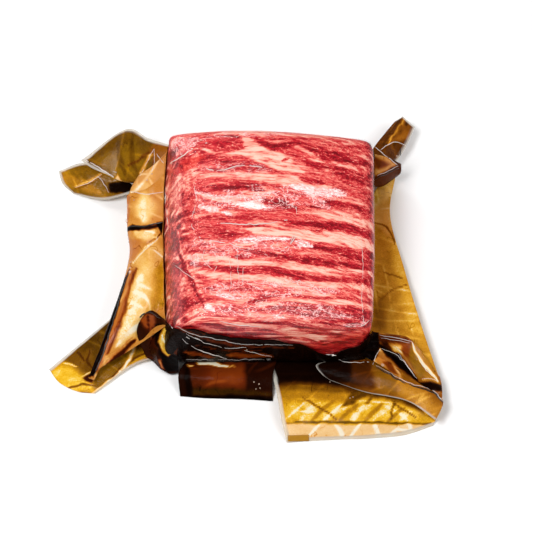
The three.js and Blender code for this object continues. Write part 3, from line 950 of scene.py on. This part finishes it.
RIGHT_FLANGE = [
    area(0.36, 0.4, 5, 372, 172, 386, 168, 388, 178, 374, 192),
    area(0.8, 0.3, 4, 386, 180, 396, 176, 392, 196, 384, 200),
    area(0.78, 0.45, 6, 373, 200, 388, 200, 397, 222, 390, 238, 372, 221),
    area(0.79, 0.15, 10, 396, 240, 404, 268, 416, 310, 424, 335, 410, 330, 400, 290, 390, 250),
    area(0.46, 0.25, 12, 372, 300, 384, 300, 386, 328, 372, 330),
    line(0.42, 0.4, 0.9, 373, 222, 384, 225, 392, 234, 396, 245),
    line(0.44, 0.3, 0.8, 383, 272, 394, 276, 404, 279),
    line(0.44, 0.3, 0.8, 378, 303, 392, 290, 407, 285),
]
# The black hole into the fold is painted shade.
EAR_TENT = [
    area(0.7, 0.75, 3, 373, 146, 397, 165, 375, 176),
    area(0.34, 0.9, 4, 374, 156, 390, 164, 378, 169, 373, 168),
    area(0.26, 0.7, 3, 374, 179, 398, 167, 393, 188, 374, 200),
    area(0.1, 0.9, 2, 381, 149, 392, 143, 401, 150, 399, 164),
]
EAR_TAIL = [
    area(0.4, 0.55, 5, 392, 142, 402, 118, 412, 114, 408, 140),
    line(0.2, 0.4, 1, 384, 144, 392, 130, 400, 118),
    line(0.62, 0.4, 0.9, 388, 145, 397, 130, 405, 117),
    line(0.22, 0.4, 0.9, 394, 146, 402, 132, 408, 120),
]
# The black slot between the flap and the column is painted shadow; the pale lines along its folds are
# painted highlights.
BACK_LEFT_UPPER = [
    area(0.44, 0, 8, 96, 160, 136, 140, 146, 165, 120, 182),
    line(0.32, 0.1, 3, 118, 142, 120, 158, 126, 176),
    line(0.34, 0.1, 2.6, 131, 138, 132, 154, 136, 172),
    line(0.72, 0.6, 1.6, 154, 149, 146, 162, 140, 176),
    line(0.3, 0.5, 1.4, 154, 149, 142, 158, 128, 166),
    line(0.74, 0.7, 1.4, 156, 150, 160, 160, 164, 166),
    line(0.3, 0.7, 1.4, 155, 151, 153, 162, 152, 172),
    area(0.86, 0.8, 2, 112, 184, 117, 175, 124, 184),
    area(0.84, 0.85, 2, 138, 186, 140, 172, 150, 180, 146, 186),
    area(0.04, 0.5, 2, 109, 183, 138, 182, 139, 190, 109, 192),
    area(0.46, 0.55, 4, 149, 148, 158, 140, 173, 142, 168, 160, 153, 163),
]
# The black slot is painted shadow, and the line of tone 1 a painted highlight.
BACK_LEFT_LOWER = [
    area(0.62, 0, 8, 58, 170, 70, 170, 72, 188, 60, 186),
    area(0.04, 0.5, 2, 109, 183, 138, 182, 139, 188, 128, 193, 110, 192),
    line(1, 0.4, 1.4, 84, 160, 98, 168, 114, 178),
    line(0.58, 0.2, 5, 62, 176, 80, 184, 98, 192),
    line(0.34, 0.3, 1, 75, 189, 88, 184, 102, 175),
    line(0.36, 0.3, 1, 97, 176, 104, 183, 109, 192),
    line(0.85, 0.5, 1, 76, 186, 90, 181, 101, 173),
]
COLUMN_SHOULDER = [
    area(0.8, 0.75, 4, 131, 189, 142, 182, 160, 187, 160, 196),
    line(0.92, 0.5, 1.2, 131, 192, 146, 195, 164, 193),
]
# Cream painted highlights down its middle; painted shade in the crumpled crease across it and on the
# rolled-under outer edge.
COLUMN_PANEL = [
    area(0.66, 0.9, 5, 150, 192, 168, 192, 168, 222, 150, 224),
    line(0.56, 1, 2.4, 128, 196, 127, 212, 126, 226),
    line(0.8, 0.7, 11, 144, 197, 145, 208, 145, 218),
    line(0.88, 0.5, 7.5, 143, 198, 144, 208, 144, 219),
    line(0.96, 0.3, 4, 143, 200, 142, 209, 143, 219),
    line(0.9, 0.55, 6, 136, 233, 146, 234, 153, 231),
    area(0.6, 0.95, 4, 127, 238, 141, 240, 140, 252, 131, 262),
    line(0.12, 0.9, 2, 126, 229, 140, 229, 155, 226, 166, 222),
    area(0.01, 0.6, 1.5, 125, 229, 132, 225, 141, 227, 140, 230, 127, 231),
    area(0.01, 0.6, 1.5, 157, 222, 165, 221, 167, 232, 164, 240, 160, 232),
    area(0.8, 0.6, 6, 134, 262, 156, 240, 166, 252, 160, 270, 142, 280),
    area(0.68, 0.1, 6, 148, 276, 166, 258, 167, 306, 146, 312),
    line(0.97, 0.5, 1, 159, 237, 146, 249, 133, 262),
    line(0.9, 0.5, 0.8, 164, 232, 156, 237, 146, 236),
    line(0.2, 0.9, 1, 157, 238, 163, 230, 166, 222),
    line(0.8, 0.5, 12, 147, 266, 143, 292, 137, 316, 124, 342),
    line(0.88, 0.5, 8.5, 144, 270, 140, 292, 134, 316, 122, 342),
    line(0.97, 0.35, 4.5, 142, 276, 138, 294, 131, 316, 121, 340),
    line(0.3, 1, 2, 136, 268, 131, 282, 124, 308, 117, 330, 106, 354),
    line(0.54, 1, 1.8, 132, 270, 126, 294, 117, 322, 104, 354, 97, 372),
    area(0.01, 0.7, 1.5, 130, 268, 124, 290, 115, 318, 103, 352, 94, 376, 84, 378, 98, 338, 112, 298),
    line(0.94, 0.6, 2.2, 140, 326, 128, 335, 116, 346),
    line(0.16, 1, 2.4, 135, 340, 117, 357, 98, 375),
    line(0.6, 1, 0.9, 133, 337, 119, 350, 103, 368),
]
FRONT_LEFT_FLAP = [
    area(0.3, 0.1, 10, 72, 345, 100, 318, 128, 306, 118, 342, 94, 370),
    area(0.36, 0.2, 6, 66, 352, 92, 348, 96, 370, 80, 376, 68, 364),
    area(0.84, 0, 10, 42, 380, 60, 362, 88, 376, 96, 393, 58, 394),
    line(0.95, 0.1, 0.9, 62, 363, 77, 367),
    line(0.24, 0.4, 1, 90, 350, 88, 362, 94, 370),
    line(0.22, 0.4, 1, 78, 352, 86, 362),
    line(0.4, 0.3, 1, 64, 389, 80, 385, 96, 386),
    area(0.16, 0.95, 2, 83, 378, 88, 374, 94, 376, 92, 382, 86, 382),
    line(0.92, 0.4, 0.7, 83, 376, 89, 373, 95, 372),
    area(0.7, 0.1, 5, 98, 392, 126, 366, 150, 346, 154, 364),
    line(0.3, 0.4, 1.2, 112, 376, 128, 362, 146, 352),
    line(0.93, 0.6, 1.6, 92, 394, 118, 374, 133, 352, 139, 334),
]
# The pale lines on its gold leaf are painted glints.
KNOT = [
    area(0.46, 1, 4, 141, 319, 146, 314, 154, 314, 155, 328, 144, 328),
    line(0.14, 1, 0.9, 148, 316, 149, 330),
    area(0.16, 0.95, 4, 143, 329, 156, 328, 156, 348, 150, 346),
    line(0.44, 1, 1.2, 151, 326, 152, 340),
    area(0, 0.7, 3, 155, 325, 163, 324, 159, 342, 158, 352, 166, 372, 180, 372, 182, 357, 170, 352, 163,
         354, 156, 345),
    area(0.76, 0.1, 2, 164, 325, 158, 342, 161, 351, 168, 357, 175, 351, 174, 338),
    line(1.05, 0.1, 0.7, 162, 335, 165, 345, 169, 350),
    area(0.2, 0.9, 4, 170, 336, 178, 342, 182, 357, 174, 354),
    line(0.7, 0.8, 0.6, 177, 344, 180, 350, 182, 356),
    area(0.54, 1, 1.5, 158, 360, 161, 360, 164, 369, 161, 367),
]
# Dark for its layers of film and as painted shade under the meat; a white painted highlight along its top,
# and painted shade in the fold along its top and at its foot.
FRONT_SKIRT = [
    area(0.22, 0.95, 8, 188, 364, 210, 364, 212, 386, 190, 388),
    area(0.34, 1, 16, 206, 364, 248, 360, 256, 380, 238, 390, 206, 386),
    area(0.12, 0.9, 6, 244, 362, 272, 362, 276, 398, 246, 390),
    area(0.17, 0.2, 5, 190, 388, 276, 392, 276, 396, 190, 396),
    line(0.02, 0.6, 3, 186, 366, 188, 384, 190, 399),
    line(0, 0.6, 3, 190, 399, 236, 399, 276, 400),
    area(1.2, 0.5, 1.2, 196, 361.5, 212, 361, 229, 366, 228, 368, 212, 365.5, 198, 366),
    line(0.9, 0.5, 0.8, 187, 364, 189, 366, 193, 366),
    line(0.8, 0.5, 0.7, 230, 368, 233, 366, 235, 368),
    line(0.01, 0.6, 1.2, 182, 360, 230, 361, 272, 360),
]
# Painted shade under the meat and under the edge of the fold above; pale gold painted glints, with darker
# painted shade in the creases between them.
FRONT_RIGHT_FLAP = [
    area(0.86, 0.02, 8, 288, 404, 296, 398, 330, 398, 345, 404, 330, 420, 292, 420),
    area(0.85, 0.02, 8, 362, 404, 380, 402, 410, 406, 420, 418, 366, 420),
    area(0.6, 0.1, 8, 276, 388, 320, 390, 350, 394, 350, 402, 300, 400, 280, 400),
    area(0.24, 0.35, 6, 316, 374, 350, 384, 400, 396, 424, 404, 436, 420, 424, 413, 400, 402, 350, 393,
         318, 388),
    area(0.4, 0.2, 5, 276, 382, 300, 381, 334, 384, 350, 392, 330, 393, 300, 390, 278, 391),
    area(0.03, 0.6, 9, 262, 340, 352, 340, 352, 386, 330, 385, 300, 383, 262, 385),
    area(0.3, 0.2, 3, 340, 408, 350, 395, 358, 388, 372, 392, 366, 396, 352, 404),
    line(0.4, 0.2, 1.6, 374, 393, 368, 402, 364, 408),
    line(0.93, 0.02, 2.6, 300, 421, 308, 411, 320, 402),
    line(0.92, 0.02, 2.4, 326, 419, 336, 411, 347, 407),
    line(0.95, 0.02, 3.2, 351, 421, 360, 411, 371, 404),
    line(0.92, 0.05, 2.4, 374, 420, 383, 411, 392, 406),
    line(0.95, 0.02, 2.2, 400, 420, 408, 414, 412, 412),
    line(0.9, 0.02, 2.2, 418, 404, 424, 408, 428, 414),
    line(0.6, 0.1, 2.2, 312, 420, 322, 410, 333, 401),
    line(0.56, 0.1, 2.2, 340, 420, 348, 412, 358, 404),
    line(0.58, 0.1, 2.2, 364, 421, 373, 412, 383, 404),
    line(0.58, 0.1, 2, 388, 421, 396, 414, 404, 408),
    line(0.36, 0.3, 0.9, 303, 397, 320, 408, 337, 419),
    line(0.4, 0.3, 0.9, 391, 400, 402, 409, 416, 418),
    line(0.34, 0.2, 0.9, 395, 397, 393, 408, 391, 419),
    area(0.88, 0.75, 2, 284, 424, 438, 425, 438, 444, 284, 444),
    line(0.34, 0, 1, 286, 422, 350, 422, 437, 424),
]
FRONT_RIGHT_FOLD = [
    area(0.05, 0.6, 10, 306, 350, 352, 350, 360, 386, 312, 380),
    area(0.2, 0.6, 10, 350, 356, 372, 360, 376, 390, 352, 384),
    area(0.44, 0.25, 10, 372, 360, 396, 372, 400, 396, 376, 392),
    area(0.64, 0.35, 12, 398, 378, 420, 388, 443, 408, 438, 424, 414, 402, 398, 396),
    area(0.4, 0.6, 3, 349, 358, 358, 346, 374, 344, 374, 361, 350, 361),
]
# The pale lines and spots along its edges are painted highlights.
FRONT_RIGHT_GUSSET = [
    area(0.6, 0.3, 5, 412, 342, 428, 356, 441, 384, 426, 380, 412, 360),
    area(0.3, 0.9, 2, 379, 334, 395, 335, 413, 340, 412, 346, 395, 343, 379, 341),
    area(0.38, 1, 3, 401, 343, 412, 345, 411, 358, 402, 356),
    area(0.14, 0.9, 3, 380, 340, 390, 342, 392, 352, 383, 349),
    area(0.74, 0.5, 3, 388, 342, 402, 345, 403, 355, 394, 353),
    line(0.96, 0.1, 2, 393, 346, 396.5, 348.5, 400, 351.5),
    area(0, 0.7, 2, 378, 342, 386, 348, 399, 355, 418, 378, 419, 382, 400, 368, 388, 356, 379, 349),
    area(0.66, 0.7, 1.5, 380, 348, 372, 366, 380, 365, 388, 369, 400, 379, 402, 374, 396, 366),
    area(0.36, 0.95, 2, 383, 361, 390, 362, 400, 376, 390, 371),
    line(0.95, 0.5, 0.8, 380, 349, 376, 357, 373, 365),
    area(0.5, 0.1, 3, 411, 344, 416, 352, 426, 372, 419, 378, 409, 358),
    line(1.15, 0.3, 1.2, 412, 342, 422, 363, 439, 381),
    area(1.1, 0.4, 1.5, 419, 357, 423, 361, 429, 370, 425, 369),
    line(0.8, 0.5, 0.9, 421, 379, 431, 379, 440, 383),
    area(0.05, 0.7, 2, 416, 382, 430, 382, 442, 385, 442, 391, 428, 390, 416, 386),
    area(0, 0.7, 2, 352, 366, 362, 350, 370, 340, 376, 326, 379, 331, 379, 352, 373, 364),
    line(0.4, 1, 2, 441, 397, 443, 401),
]


def make_flaps():
    make_sheet("right_flange", [
        rim_rail(34, -34, 7),
        [[76, 69, 4], [75, 42, 5], [79, 1, 6], [84, -37, 7], [89, -66, 8]],
        [[88, 76, 7], [83, 45, 8], [91, 1, 9], [100, -40, 10], [111, -83, 10]],
    ], 0.68, 0.22, RIGHT_FLANGE, crumple=0.5, seed=51)
    make_sheet("back_right_ear", [
        wall_rail([47, 41], [46, 20], 7),
        [[80, 72, 36], [77, 68, 26], [78, 64, 12]],
        [[91, 77, 20], [91, 74, 14], [89, 74, 9]],
    ], 0.22, 0.75, EAR_TENT, crumple=0.4, seed=54)
    make_sheet("back_right_tail", [
        wall_rail([50, 42], [20, 8]),
        [[76, 98, 14], [85, 98, 16], [93, 93, 10]],
        [[89, 117, 12], [94, 120, 14], [102, 113, 11]],
    ], 0.28, 0.5, EAR_TAIL, seals=(0, 1.2, 1.2), creased=True, seed=57)
    make_sheet("back_flange", [
        rim_rail(128, 54, 9),
        [[-54, 80, 30], [-34, 82, 16], [-14, 80, 20], [6, 83, 12], [26, 80, 19], [44, 82, 12], [62, 78, 18]],
        [[-56, 93, 18], [-36, 96, 0.55], [-14, 93, 9], [6, 96, 0.55], [26, 93, 9], [46, 96, 0.55],
         [70, 88, 9]],
    ], 0.52, 0.4, [], seals=(0, 1.5, 0), seed=60)
    make_sheet("back_left_flap_upper", [
        wall_rail([129, 139], [45, 42]),
        [[-81, 87, 36], [-83, 78, 28], [-87, 62, 20]],
        [[-96, 99, 30], [-103, 87, 20], [-103, 69, 12]],
        [[-128, 81, 18], [-121, 77, 15], [-107, 72, 12]],
    ], 0.36, 0.10, BACK_LEFT_UPPER, seals=(1.7, 1.7, 0), crumple=0.5, seed=63)
    make_sheet("back_left_flap_lower", [
        [[-104, 74, 14], [-97, 70, 9], [-86, 62, 11]],
        [[-126, 83, 12], [-118, 72, 7], [-112, 58, 4]],
        [[-145, 83.5, 0.55], [-142, 73.5, 0.55], [-134, 65, 0.55]],
    ], 0.42, 0.05, BACK_LEFT_LOWER, seals=(1.4, 1.6, 1.6), crumple=0.5, seed=66)
    make_sheet("column_shoulder", [
        wall_rail([133, 146], [47, 39], 7),
        [[-78, 62, 40], [-79, 54, 38], [-80, 43, 36]],
        [[-88, 63, 26], [-92, 55, 26], [-95, 45, 24]],
        [[-86, 62, 16], [-88, 55, 15], [-90, 45, 14]],
    ], 0.7, 0.85, COLUMN_SHOULDER, crumple=0.35, seed=69)
    make_sheet("column_panel", [
        rim_rail(142, 219, 9),
        [[-80, 47, 37], [-80, 23, 31], [-78, -4, 33], [-79, -41, 28], [-88, -61, 12]],
        [[-95, 48, 25], [-94, 24, 21], [-92, 5, 20], [-103, -43, 18], [-116, -81, 10]],
        [[-90, 47, 14], [-89, 24, 11], [-87, 4, 10], [-98, -44, 9], [-113, -81, 6]],
    ], 0.66, 0.7, COLUMN_PANEL, crumple=0.4, seed=72)
    make_sheet("front_left_flap", [
        wall_rail([162, 224], [6, 6], 7),
        [[-93, -23, 5], [-99, -43, 4.5], [-97, -59, 4.5], [-84, -67, 3.5]],
        [[-143, -70.5, 0.55], [-136, -80, 0.55], [-124, -86.5, 0.55], [-112, -88, 0.55]],
    ], 0.42, 0.1, FRONT_LEFT_FLAP, seals=(1.7, 0, 1.4), crumple=0.5, seed=75)
    make_sheet("front_left_knot", [
        rim_rail(222, 237, 9),
        [[-76, -46, 36], [-70, -54, 27], [-66, -61, 36], [-62, -66, 27], [-57, -70, 32]],
        [[-85, -53, 24], [-77, -60, 13], [-72, -67, 18], [-66, -72, 8], [-58, -73, 12]],
        [[-80, -63, 4], [-75, -66, 3], [-70, -72, 4], [-64, -75, 3], [-58, -74, 3]],
    ], 0.14, 0.85, KNOT, crumple=0.4, creased=True, seed=78)
    make_sheet("front_skirt", [
        wall_rail([229, 275], [8, 8], 7),
        [[-58, -77, 8], [-38, -81, 10], [-18, -80, 9], [3, -80, 7]],
        [[-57, -90, 0.55], [-38, -91.5, 0.55], [-18, -92, 0.55], [3, -93.5, 0.55]],
    ], 0.10, 0.85, FRONT_SKIRT, crumple=0.5, seed=81)
    make_sheet("front_right_flap", [
        [*wall_rail([270, 318], [7, 7], 7), [90, -78, 6]],
        [[5, -88, 6], [28, -90, 7], [53, -92, 8], [82, -94, 8], [108, -95, 9]],
        [[9, -112, 6], [33, -112, 7], [59, -111, 8], [87, -108, 8], [112, -99, 8]],
        [[12, -123, 0.55], [40, -121, 0.55], [65, -120, 0.55], [88, -117.5, 0.55], [106, -111, 0.55]],
    ], 0.76, 0.05, FRONT_RIGHT_FLAP, seals=(2.4, 2.6, 0), crumple=0.4, seed=84)
    make_sheet("front_right_fold", [
        [*wall_rail([300, 314], [11, 16]), [76, -72, 15]],
        [[31, -73, 11], [53, -78, 14], [76, -83, 16], [98, -88, 14]],
        [[35, -79, 10], [58, -88, 12], [85, -93, 14], [112, -99, 13]],
        [[40, -82, 8], [62, -91, 9], [90, -99, 11], [107, -112, 11]],
    ], 0.42, 0.45, FRONT_RIGHT_FOLD, seals=(0.8, 1.0, 0), crumple=0.4, seed=87)
    make_sheet("front_right_gusset", [
        wall_rail([318, 312], [46, 26], 7),
        [[80, -59, 28], [79, -61, 18], [77, -71, 26], [76, -72, 16], [72, -77, 20]],
        [[92, -57, 18], [94, -68, 12], [95, -82, 17], [93, -84, 12], [88, -87, 15]],
        [[111, -82, 12], [112, -86, 10], [112, -91, 12], [112, -95, 11], [111, -100, 12]],
    ], 0.46, 0.55, FRONT_RIGHT_GUSSET, crumple=0.3, creased=True, seed=90)


# ---- Crease highlights and shade, drops and the printed field, laid on the film ----
class Surface:
    """All the film, to find what a pixel of the picture shows of it."""

    def __init__(self, films):
        points, faces, start = [], [], 0
        for film_points, film_faces in films:
            points.append(film_points)
            faces += (np.asarray(film_faces) + start).tolist()
            start += len(film_points)
        self.tree = BVHTree.FromPolygons(np.concatenate(points).tolist(), faces)

    def at(self, pixel):
        """The point that a pixel shows and the outward direction there, or None."""
        ahead = Vector(sight(pixel)).normalized()
        place, normal, _, _ = self.tree.ray_cast(Vector(eye()), ahead)
        if place is None:
            return None
        return place, (normal if normal.dot(ahead) < 0 else -normal)


COURSE_STEP = 0.9  # pixels between the points of a crease
LONGEST_GAP = 3.0  # mm, past which a crease starts anew


def runs_on(surface, line, whole_above):
    """A wavering course over pixels as stretches of points on the film, broken where noise is low."""
    length = np.linalg.norm(np.diff(line, axis=0), axis=1).sum()
    course = through_knots(line, np.linspace(0, 1, max(4, int(length / COURSE_STEP))))
    flat = np.column_stack([course, np.zeros(len(course))])
    course = swayed(course, flat, 0.6, (61, 62))
    whole = noise(flat, 6, 63, 2) > whole_above
    stretches, stretch = [], []
    for pixel, unbroken in zip(course, whole):
        found = surface.at(pixel) if unbroken else None
        if found is None or (stretch and (found[0] - stretch[-1][0]).length > LONGEST_GAP):
            stretches.append(stretch)
            stretch = []
        if found is not None:
            stretch.append(found)
    return [stretch for stretch in stretches + [stretch] if len(stretch) > 2]


def ridge(stretch, width, height):
    """A closed ridge with a diamond section along points on the film, thinning towards its ends."""
    points, faces = [], []
    last = len(stretch) - 1
    for k, (place, normal) in enumerate(stretch):
        ahead = (stretch[min(k + 1, last)][0] - stretch[max(k - 1, 0)][0]).normalized()
        side = ahead.cross(normal).normalized() * width / 2
        share = 0.25 + 0.75 * math.sin(math.pi * (k + 0.5) / (last + 1)) ** 0.5
        for offset in (side * share, normal * height * share, -side * share, -normal * height):
            points.append(place + offset)
    for k in range(last):
        for j in range(4):
            i, following = 4 * k + j, 4 * k + (j + 1) % 4
            faces.append((i, following, following + 4, i + 4))
    faces.append((3, 2, 1, 0))
    faces.append(tuple(4 * last + j for j in range(4)))
    return points, faces


def bead(place, normal, radius):
    """A closed flattened drop that sits on the film."""
    rings, sides = 5, 10
    across = normal.orthogonal().normalized()
    beside = normal.cross(across)
    points = [place - normal * radius * 0.3]
    for i in range(1, rings):
        angle = math.pi * i / rings
        for j in range(sides):
            turn = 2 * math.pi * j / sides
            flat = (across * math.cos(turn) + beside * math.sin(turn)) * math.sin(angle)
            points.append(place + flat * radius - normal * math.cos(angle) * radius * 0.6)
    points.append(place + normal * radius * 0.6)
    faces = [(0, 1 + (j + 1) % sides, 1 + j) for j in range(sides)]
    for i in range(rings - 2):
        for j in range(sides):
            low, following = 1 + i * sides + j, 1 + i * sides + (j + 1) % sides
            faces.append((low, following, following + sides, low + sides))
    top = len(points) - 1
    faces += [(top, top - sides + j, top - sides + (j + 1) % sides) for j in range(sides)]
    return points, faces


def joined(parts):
    """One list of points and faces from several."""
    points, faces = [], []
    for part_points, part_faces in parts:
        faces += [tuple(i + len(points) for i in face) for face in part_faces]
        points += part_points
    return np.array([tuple(point) for point in points]), faces


def make_ridges(name, surface, courses, whole_above, material, slot):
    """Ridges along courses: each row is a width and a height in mm, and a course."""
    parts = [
        ridge(stretch, width, height)
        for width, height, *course in courses
        for stretch in runs_on(surface, pairs(course), whole_above)
    ]
    points, faces = joined(parts)
    add_piece(name, points, faces, material, slot)


# Painted highlights along creases of the clear film.
CLEAR_FILM_HIGHLIGHTS = [
    (0.66, 0.12, 202, 168, 212, 170, 222, 170, 236, 166, 250, 166, 266, 168),
    (0.66, 0.12, 207, 222, 222, 223, 240, 224, 264, 224, 288, 220),
    (0.38, 0.12, 194, 186, 196, 200, 193, 214, 192, 226, 197, 235, 193, 242),
    (0.6, 0.12, 197, 235, 205, 240, 228, 243, 240, 247, 258, 245),
    (0.6, 0.12, 283, 250, 289, 245, 296, 237),
    (0.3, 0.12, 213, 249, 217, 258, 217, 266, 214, 272),
    (0.3, 0.12, 204, 250, 203, 258, 212, 270),
    (0.3, 0.12, 226, 248, 230, 262, 231, 278, 230, 292),
    (0.3, 0.12, 237, 249, 238, 266, 239, 284),
    (0.3, 0.12, 243, 262, 243, 280, 242, 290),
    (0.38, 0.12, 283, 250, 290, 243, 294, 236, 302, 240),
    (0.52, 0.12, 202, 309, 214, 318, 238, 325, 262, 327),
    (0.26, 0.12, 361, 238, 363, 262, 362, 300, 364, 324),
    (0.3, 0.12, 296, 206, 297, 217),
    (0.68, 0.12, 168, 164, 182, 156, 192, 149, 207, 143),
    (0.38, 0.12, 165, 195, 166, 210, 168, 224),
    (0.3, 0.12, 288, 276, 294, 282, 300, 280, 300, 290),
    (0.38, 0.12, 172, 262, 184, 272, 196, 280),
    (0.38, 0.12, 358, 326, 364, 325, 369, 320),
]
# Painted highlights along creases of the amber film.
AMBER_FILM_HIGHLIGHTS = [
    (0.8, 0.15, 84, 159, 98, 167, 114, 177),
    (0.48, 0.15, 154, 149, 147, 162, 140, 176),
    (0.48, 0.15, 154, 149, 160, 158, 166, 165),
    (0.48, 0.15, 154, 149, 154, 162, 152, 172),
    (0.4, 0.15, 76, 187, 90, 182, 102, 174),
    (0.4, 0.15, 98, 176, 104, 184, 109, 193),
    (0.48, 0.15, 130, 191, 146, 194, 164, 192),
    (0.4, 0.15, 159, 237, 146, 249, 133, 262),
    (0.4, 0.15, 165, 192, 166, 208, 168, 222),
    (0.4, 0.15, 176, 326, 189, 333, 200, 336, 227, 341, 241, 344, 293, 345),
    (0.4, 0.15, 186, 334, 198, 340, 213, 345, 231, 348, 246, 347),
    (0.56, 0.15, 186, 337, 190, 339),
    (0.56, 0.15, 195, 338, 199, 340),
    (0.32, 0.15, 182, 339, 188, 344),
    (0.4, 0.15, 169, 325, 172, 328, 176, 334),
    (0.4, 0.15, 191, 346, 198, 350),
    (1.2, 0.15, 198, 349.5, 206, 353, 217, 356, 227, 359),
    (0.32, 0.15, 186, 359.3, 227, 359.8, 270, 359.2),
    (0.4, 0.15, 244, 350, 256, 353, 272, 357),
    (0.56, 0.15, 336, 359, 344, 361.5, 355, 362, 369, 362),
    (1.3, 0.25, 326, 354.4, 331, 355.2, 336, 355.4),
    (0.48, 0.15, 380, 335.5, 395, 337.6, 412, 341.3),
    (0.32, 0.15, 381, 338, 395, 340, 410, 343),
    (0.44, 0.15, 382, 348, 397, 355.5, 417, 378.7),
    (0.36, 0.15, 398, 353.4, 405, 363, 415, 375.6),
    (0.48, 0.15, 380, 349, 376, 357, 373, 365),
    (0.48, 0.15, 376, 365.6, 389.5, 372.4, 400, 378.7, 416, 385, 432, 390, 443, 401),
    (0.6, 0.15, 412, 342, 422, 364, 439, 382),
    (0.4, 0.15, 422, 379, 431, 379, 440, 383),
    (0.56, 0.15, 373, 145, 385, 155, 397, 165),
    (0.56, 0.15, 398, 166, 388, 171, 377, 176),
    (0.56, 0.15, 381, 150, 387, 145, 395, 142, 407, 147),
]
# Painted shade along folds of the amber film and under its edges.
AMBER_FILM_SHADOWS = [
    (1.3, 0.3, 126, 229, 132, 226, 146, 226, 163, 222),
    (1.2, 0.3, 129, 272, 121, 294, 114, 319, 103, 353, 94, 376),
    (1.2, 0.3, 140, 318, 145, 313, 151, 312.5, 158, 317, 166, 319),
    (0.9, 0.3, 375, 179, 388, 173, 399, 168),
    (1.2, 0.3, 376, 367.4, 389.5, 374.2, 400, 380.5, 416, 386.8, 432, 391.8, 443, 402.4),
    (1, 0.3, 400, 148, 400, 164),
    (0.8, 0.3, 182, 360.8, 227, 361.2, 271, 360.6),
]
# Water drops, pale for their painted highlights: pixel, and radius in mm.
DROPS = [
    (171, 163, 0.9), (192, 149, 0.8), (201, 140, 0.7), (182, 156, 0.6), (165, 198, 1.1), (147, 180, 0.9),
    (152, 174, 0.7), (134, 200, 0.6), (128, 205, 0.7), (127, 221, 1.5), (128, 235, 0.6), (129, 242, 0.7),
    (130, 250, 0.6), (131, 262, 0.6), (130, 272, 1.4), (130, 268, 0.9), (247, 350, 0.7), (252, 352, 0.6),
    (254, 382, 0.6), (259, 384, 0.6), (256, 389, 0.5), (260, 388, 0.5), (382.7, 365, 1.4), (397, 156, 0.8),
    (442, 399, 0.9), (306, 245, 0.6), (283, 316, 0.6), (330, 382, 0.5), (350, 398, 0.5), (353, 397, 0.5),
]


FIELD_CORNERS = (287.8, 435.2, 309, 434.8, 309, 441, 287.8, 441.4)  # pixels
FIELD_LIFT, FIELD_THICKNESS = 0.25, 0.15


def make_printed_field(surface):
    """A plain gold field on the seal of the front flap."""
    columns, rows = 14, 5
    start, end, end_low, start_low = pairs(FIELD_CORNERS)
    upper = []
    for i in range(rows + 1):
        left, right = start + (start_low - start) * i / rows, end + (end_low - end) * i / rows
        for j in range(columns + 1):
            place, normal = surface.at(left + (right - left) * j / columns)
            upper.append(np.array(place + normal * FIELD_LIFT))
    middle = np.array(upper).reshape(rows + 1, columns + 1, 3)
    points, faces = shell(middle, FIELD_THICKNESS)
    add_piece("gold_field", points, faces, GOLD_FIELD, "amber_film")


def make_trim():
    surface = Surface(FILMS)
    make_ridges("clear_film_crease_highlights", surface, CLEAR_FILM_HIGHLIGHTS, -0.45, CREASE_HIGHLIGHT, "clear_film")
    make_ridges("amber_film_crease_highlights", surface, AMBER_FILM_HIGHLIGHTS, -0.9, CREASE_HIGHLIGHT, "amber_film")
    make_ridges("amber_film_crease_shadows", surface, AMBER_FILM_SHADOWS, -0.9, CREASE_SHADOW, "amber_film")
    beads = [bead(*surface.at(drop[:2]), drop[2]) for drop in DROPS if surface.at(drop[:2])]
    points, faces = joined(beads)
    add_piece("water_drops", points, faces, WATER_AND_GLINT, "clear_film")
    make_printed_field(surface)


# ---- The stage ----
def make_stage():
    bpy.ops.mesh.primitive_plane_add(size=FLOOR_WIDTH, location=(0, 0, 0))
    floor = bpy.context.object
    floor.name = "floor"
    s = Shading("pale_floor")
    s.finish(s.node("BsdfPrincipled", {"Base Color": srgb(250, 250, 250), "Roughness": 0.8}).outputs[0])
    floor.data.materials.append(s.material)
    world = bpy.data.worlds.new("studio")
    bpy.context.scene.world = world
    world.use_nodes = True
    world.node_tree.nodes["Background"].inputs["Color"].default_value = (1, 1, 1, 1)
    world.node_tree.nodes["Background"].inputs["Strength"].default_value = 0.2
    for name, (place, width, power) in LIGHTS.items():
        data = bpy.data.lights.new(name, "AREA")
        data.size = width
        data.energy = power
        light = bpy.data.objects.new(name, data)
        light.location = place
        light.rotation_euler = (-Vector(place)).to_track_quat("-Z", "Y").to_euler()
        bpy.context.scene.collection.objects.link(light)


def make_camera():
    data = bpy.data.cameras.new("view")
    data.sensor_width = SENSOR
    data.lens = FOCAL / PICTURE * SENSOR
    data.clip_end = 10
    camera = bpy.data.objects.new("view", data)
    camera.location = eye() * MM + SHIFT
    camera.rotation_euler = (math.pi / 2 - ELEVATION, 0, 0)
    bpy.context.scene.collection.objects.link(camera)
    bpy.context.scene.camera = camera
    bpy.context.scene.view_settings.view_transform = "Standard"


make_camera()
make_stage()
painter = make_meat()
make_clear_film(painter)
make_cup()
make_flaps()
make_trim()
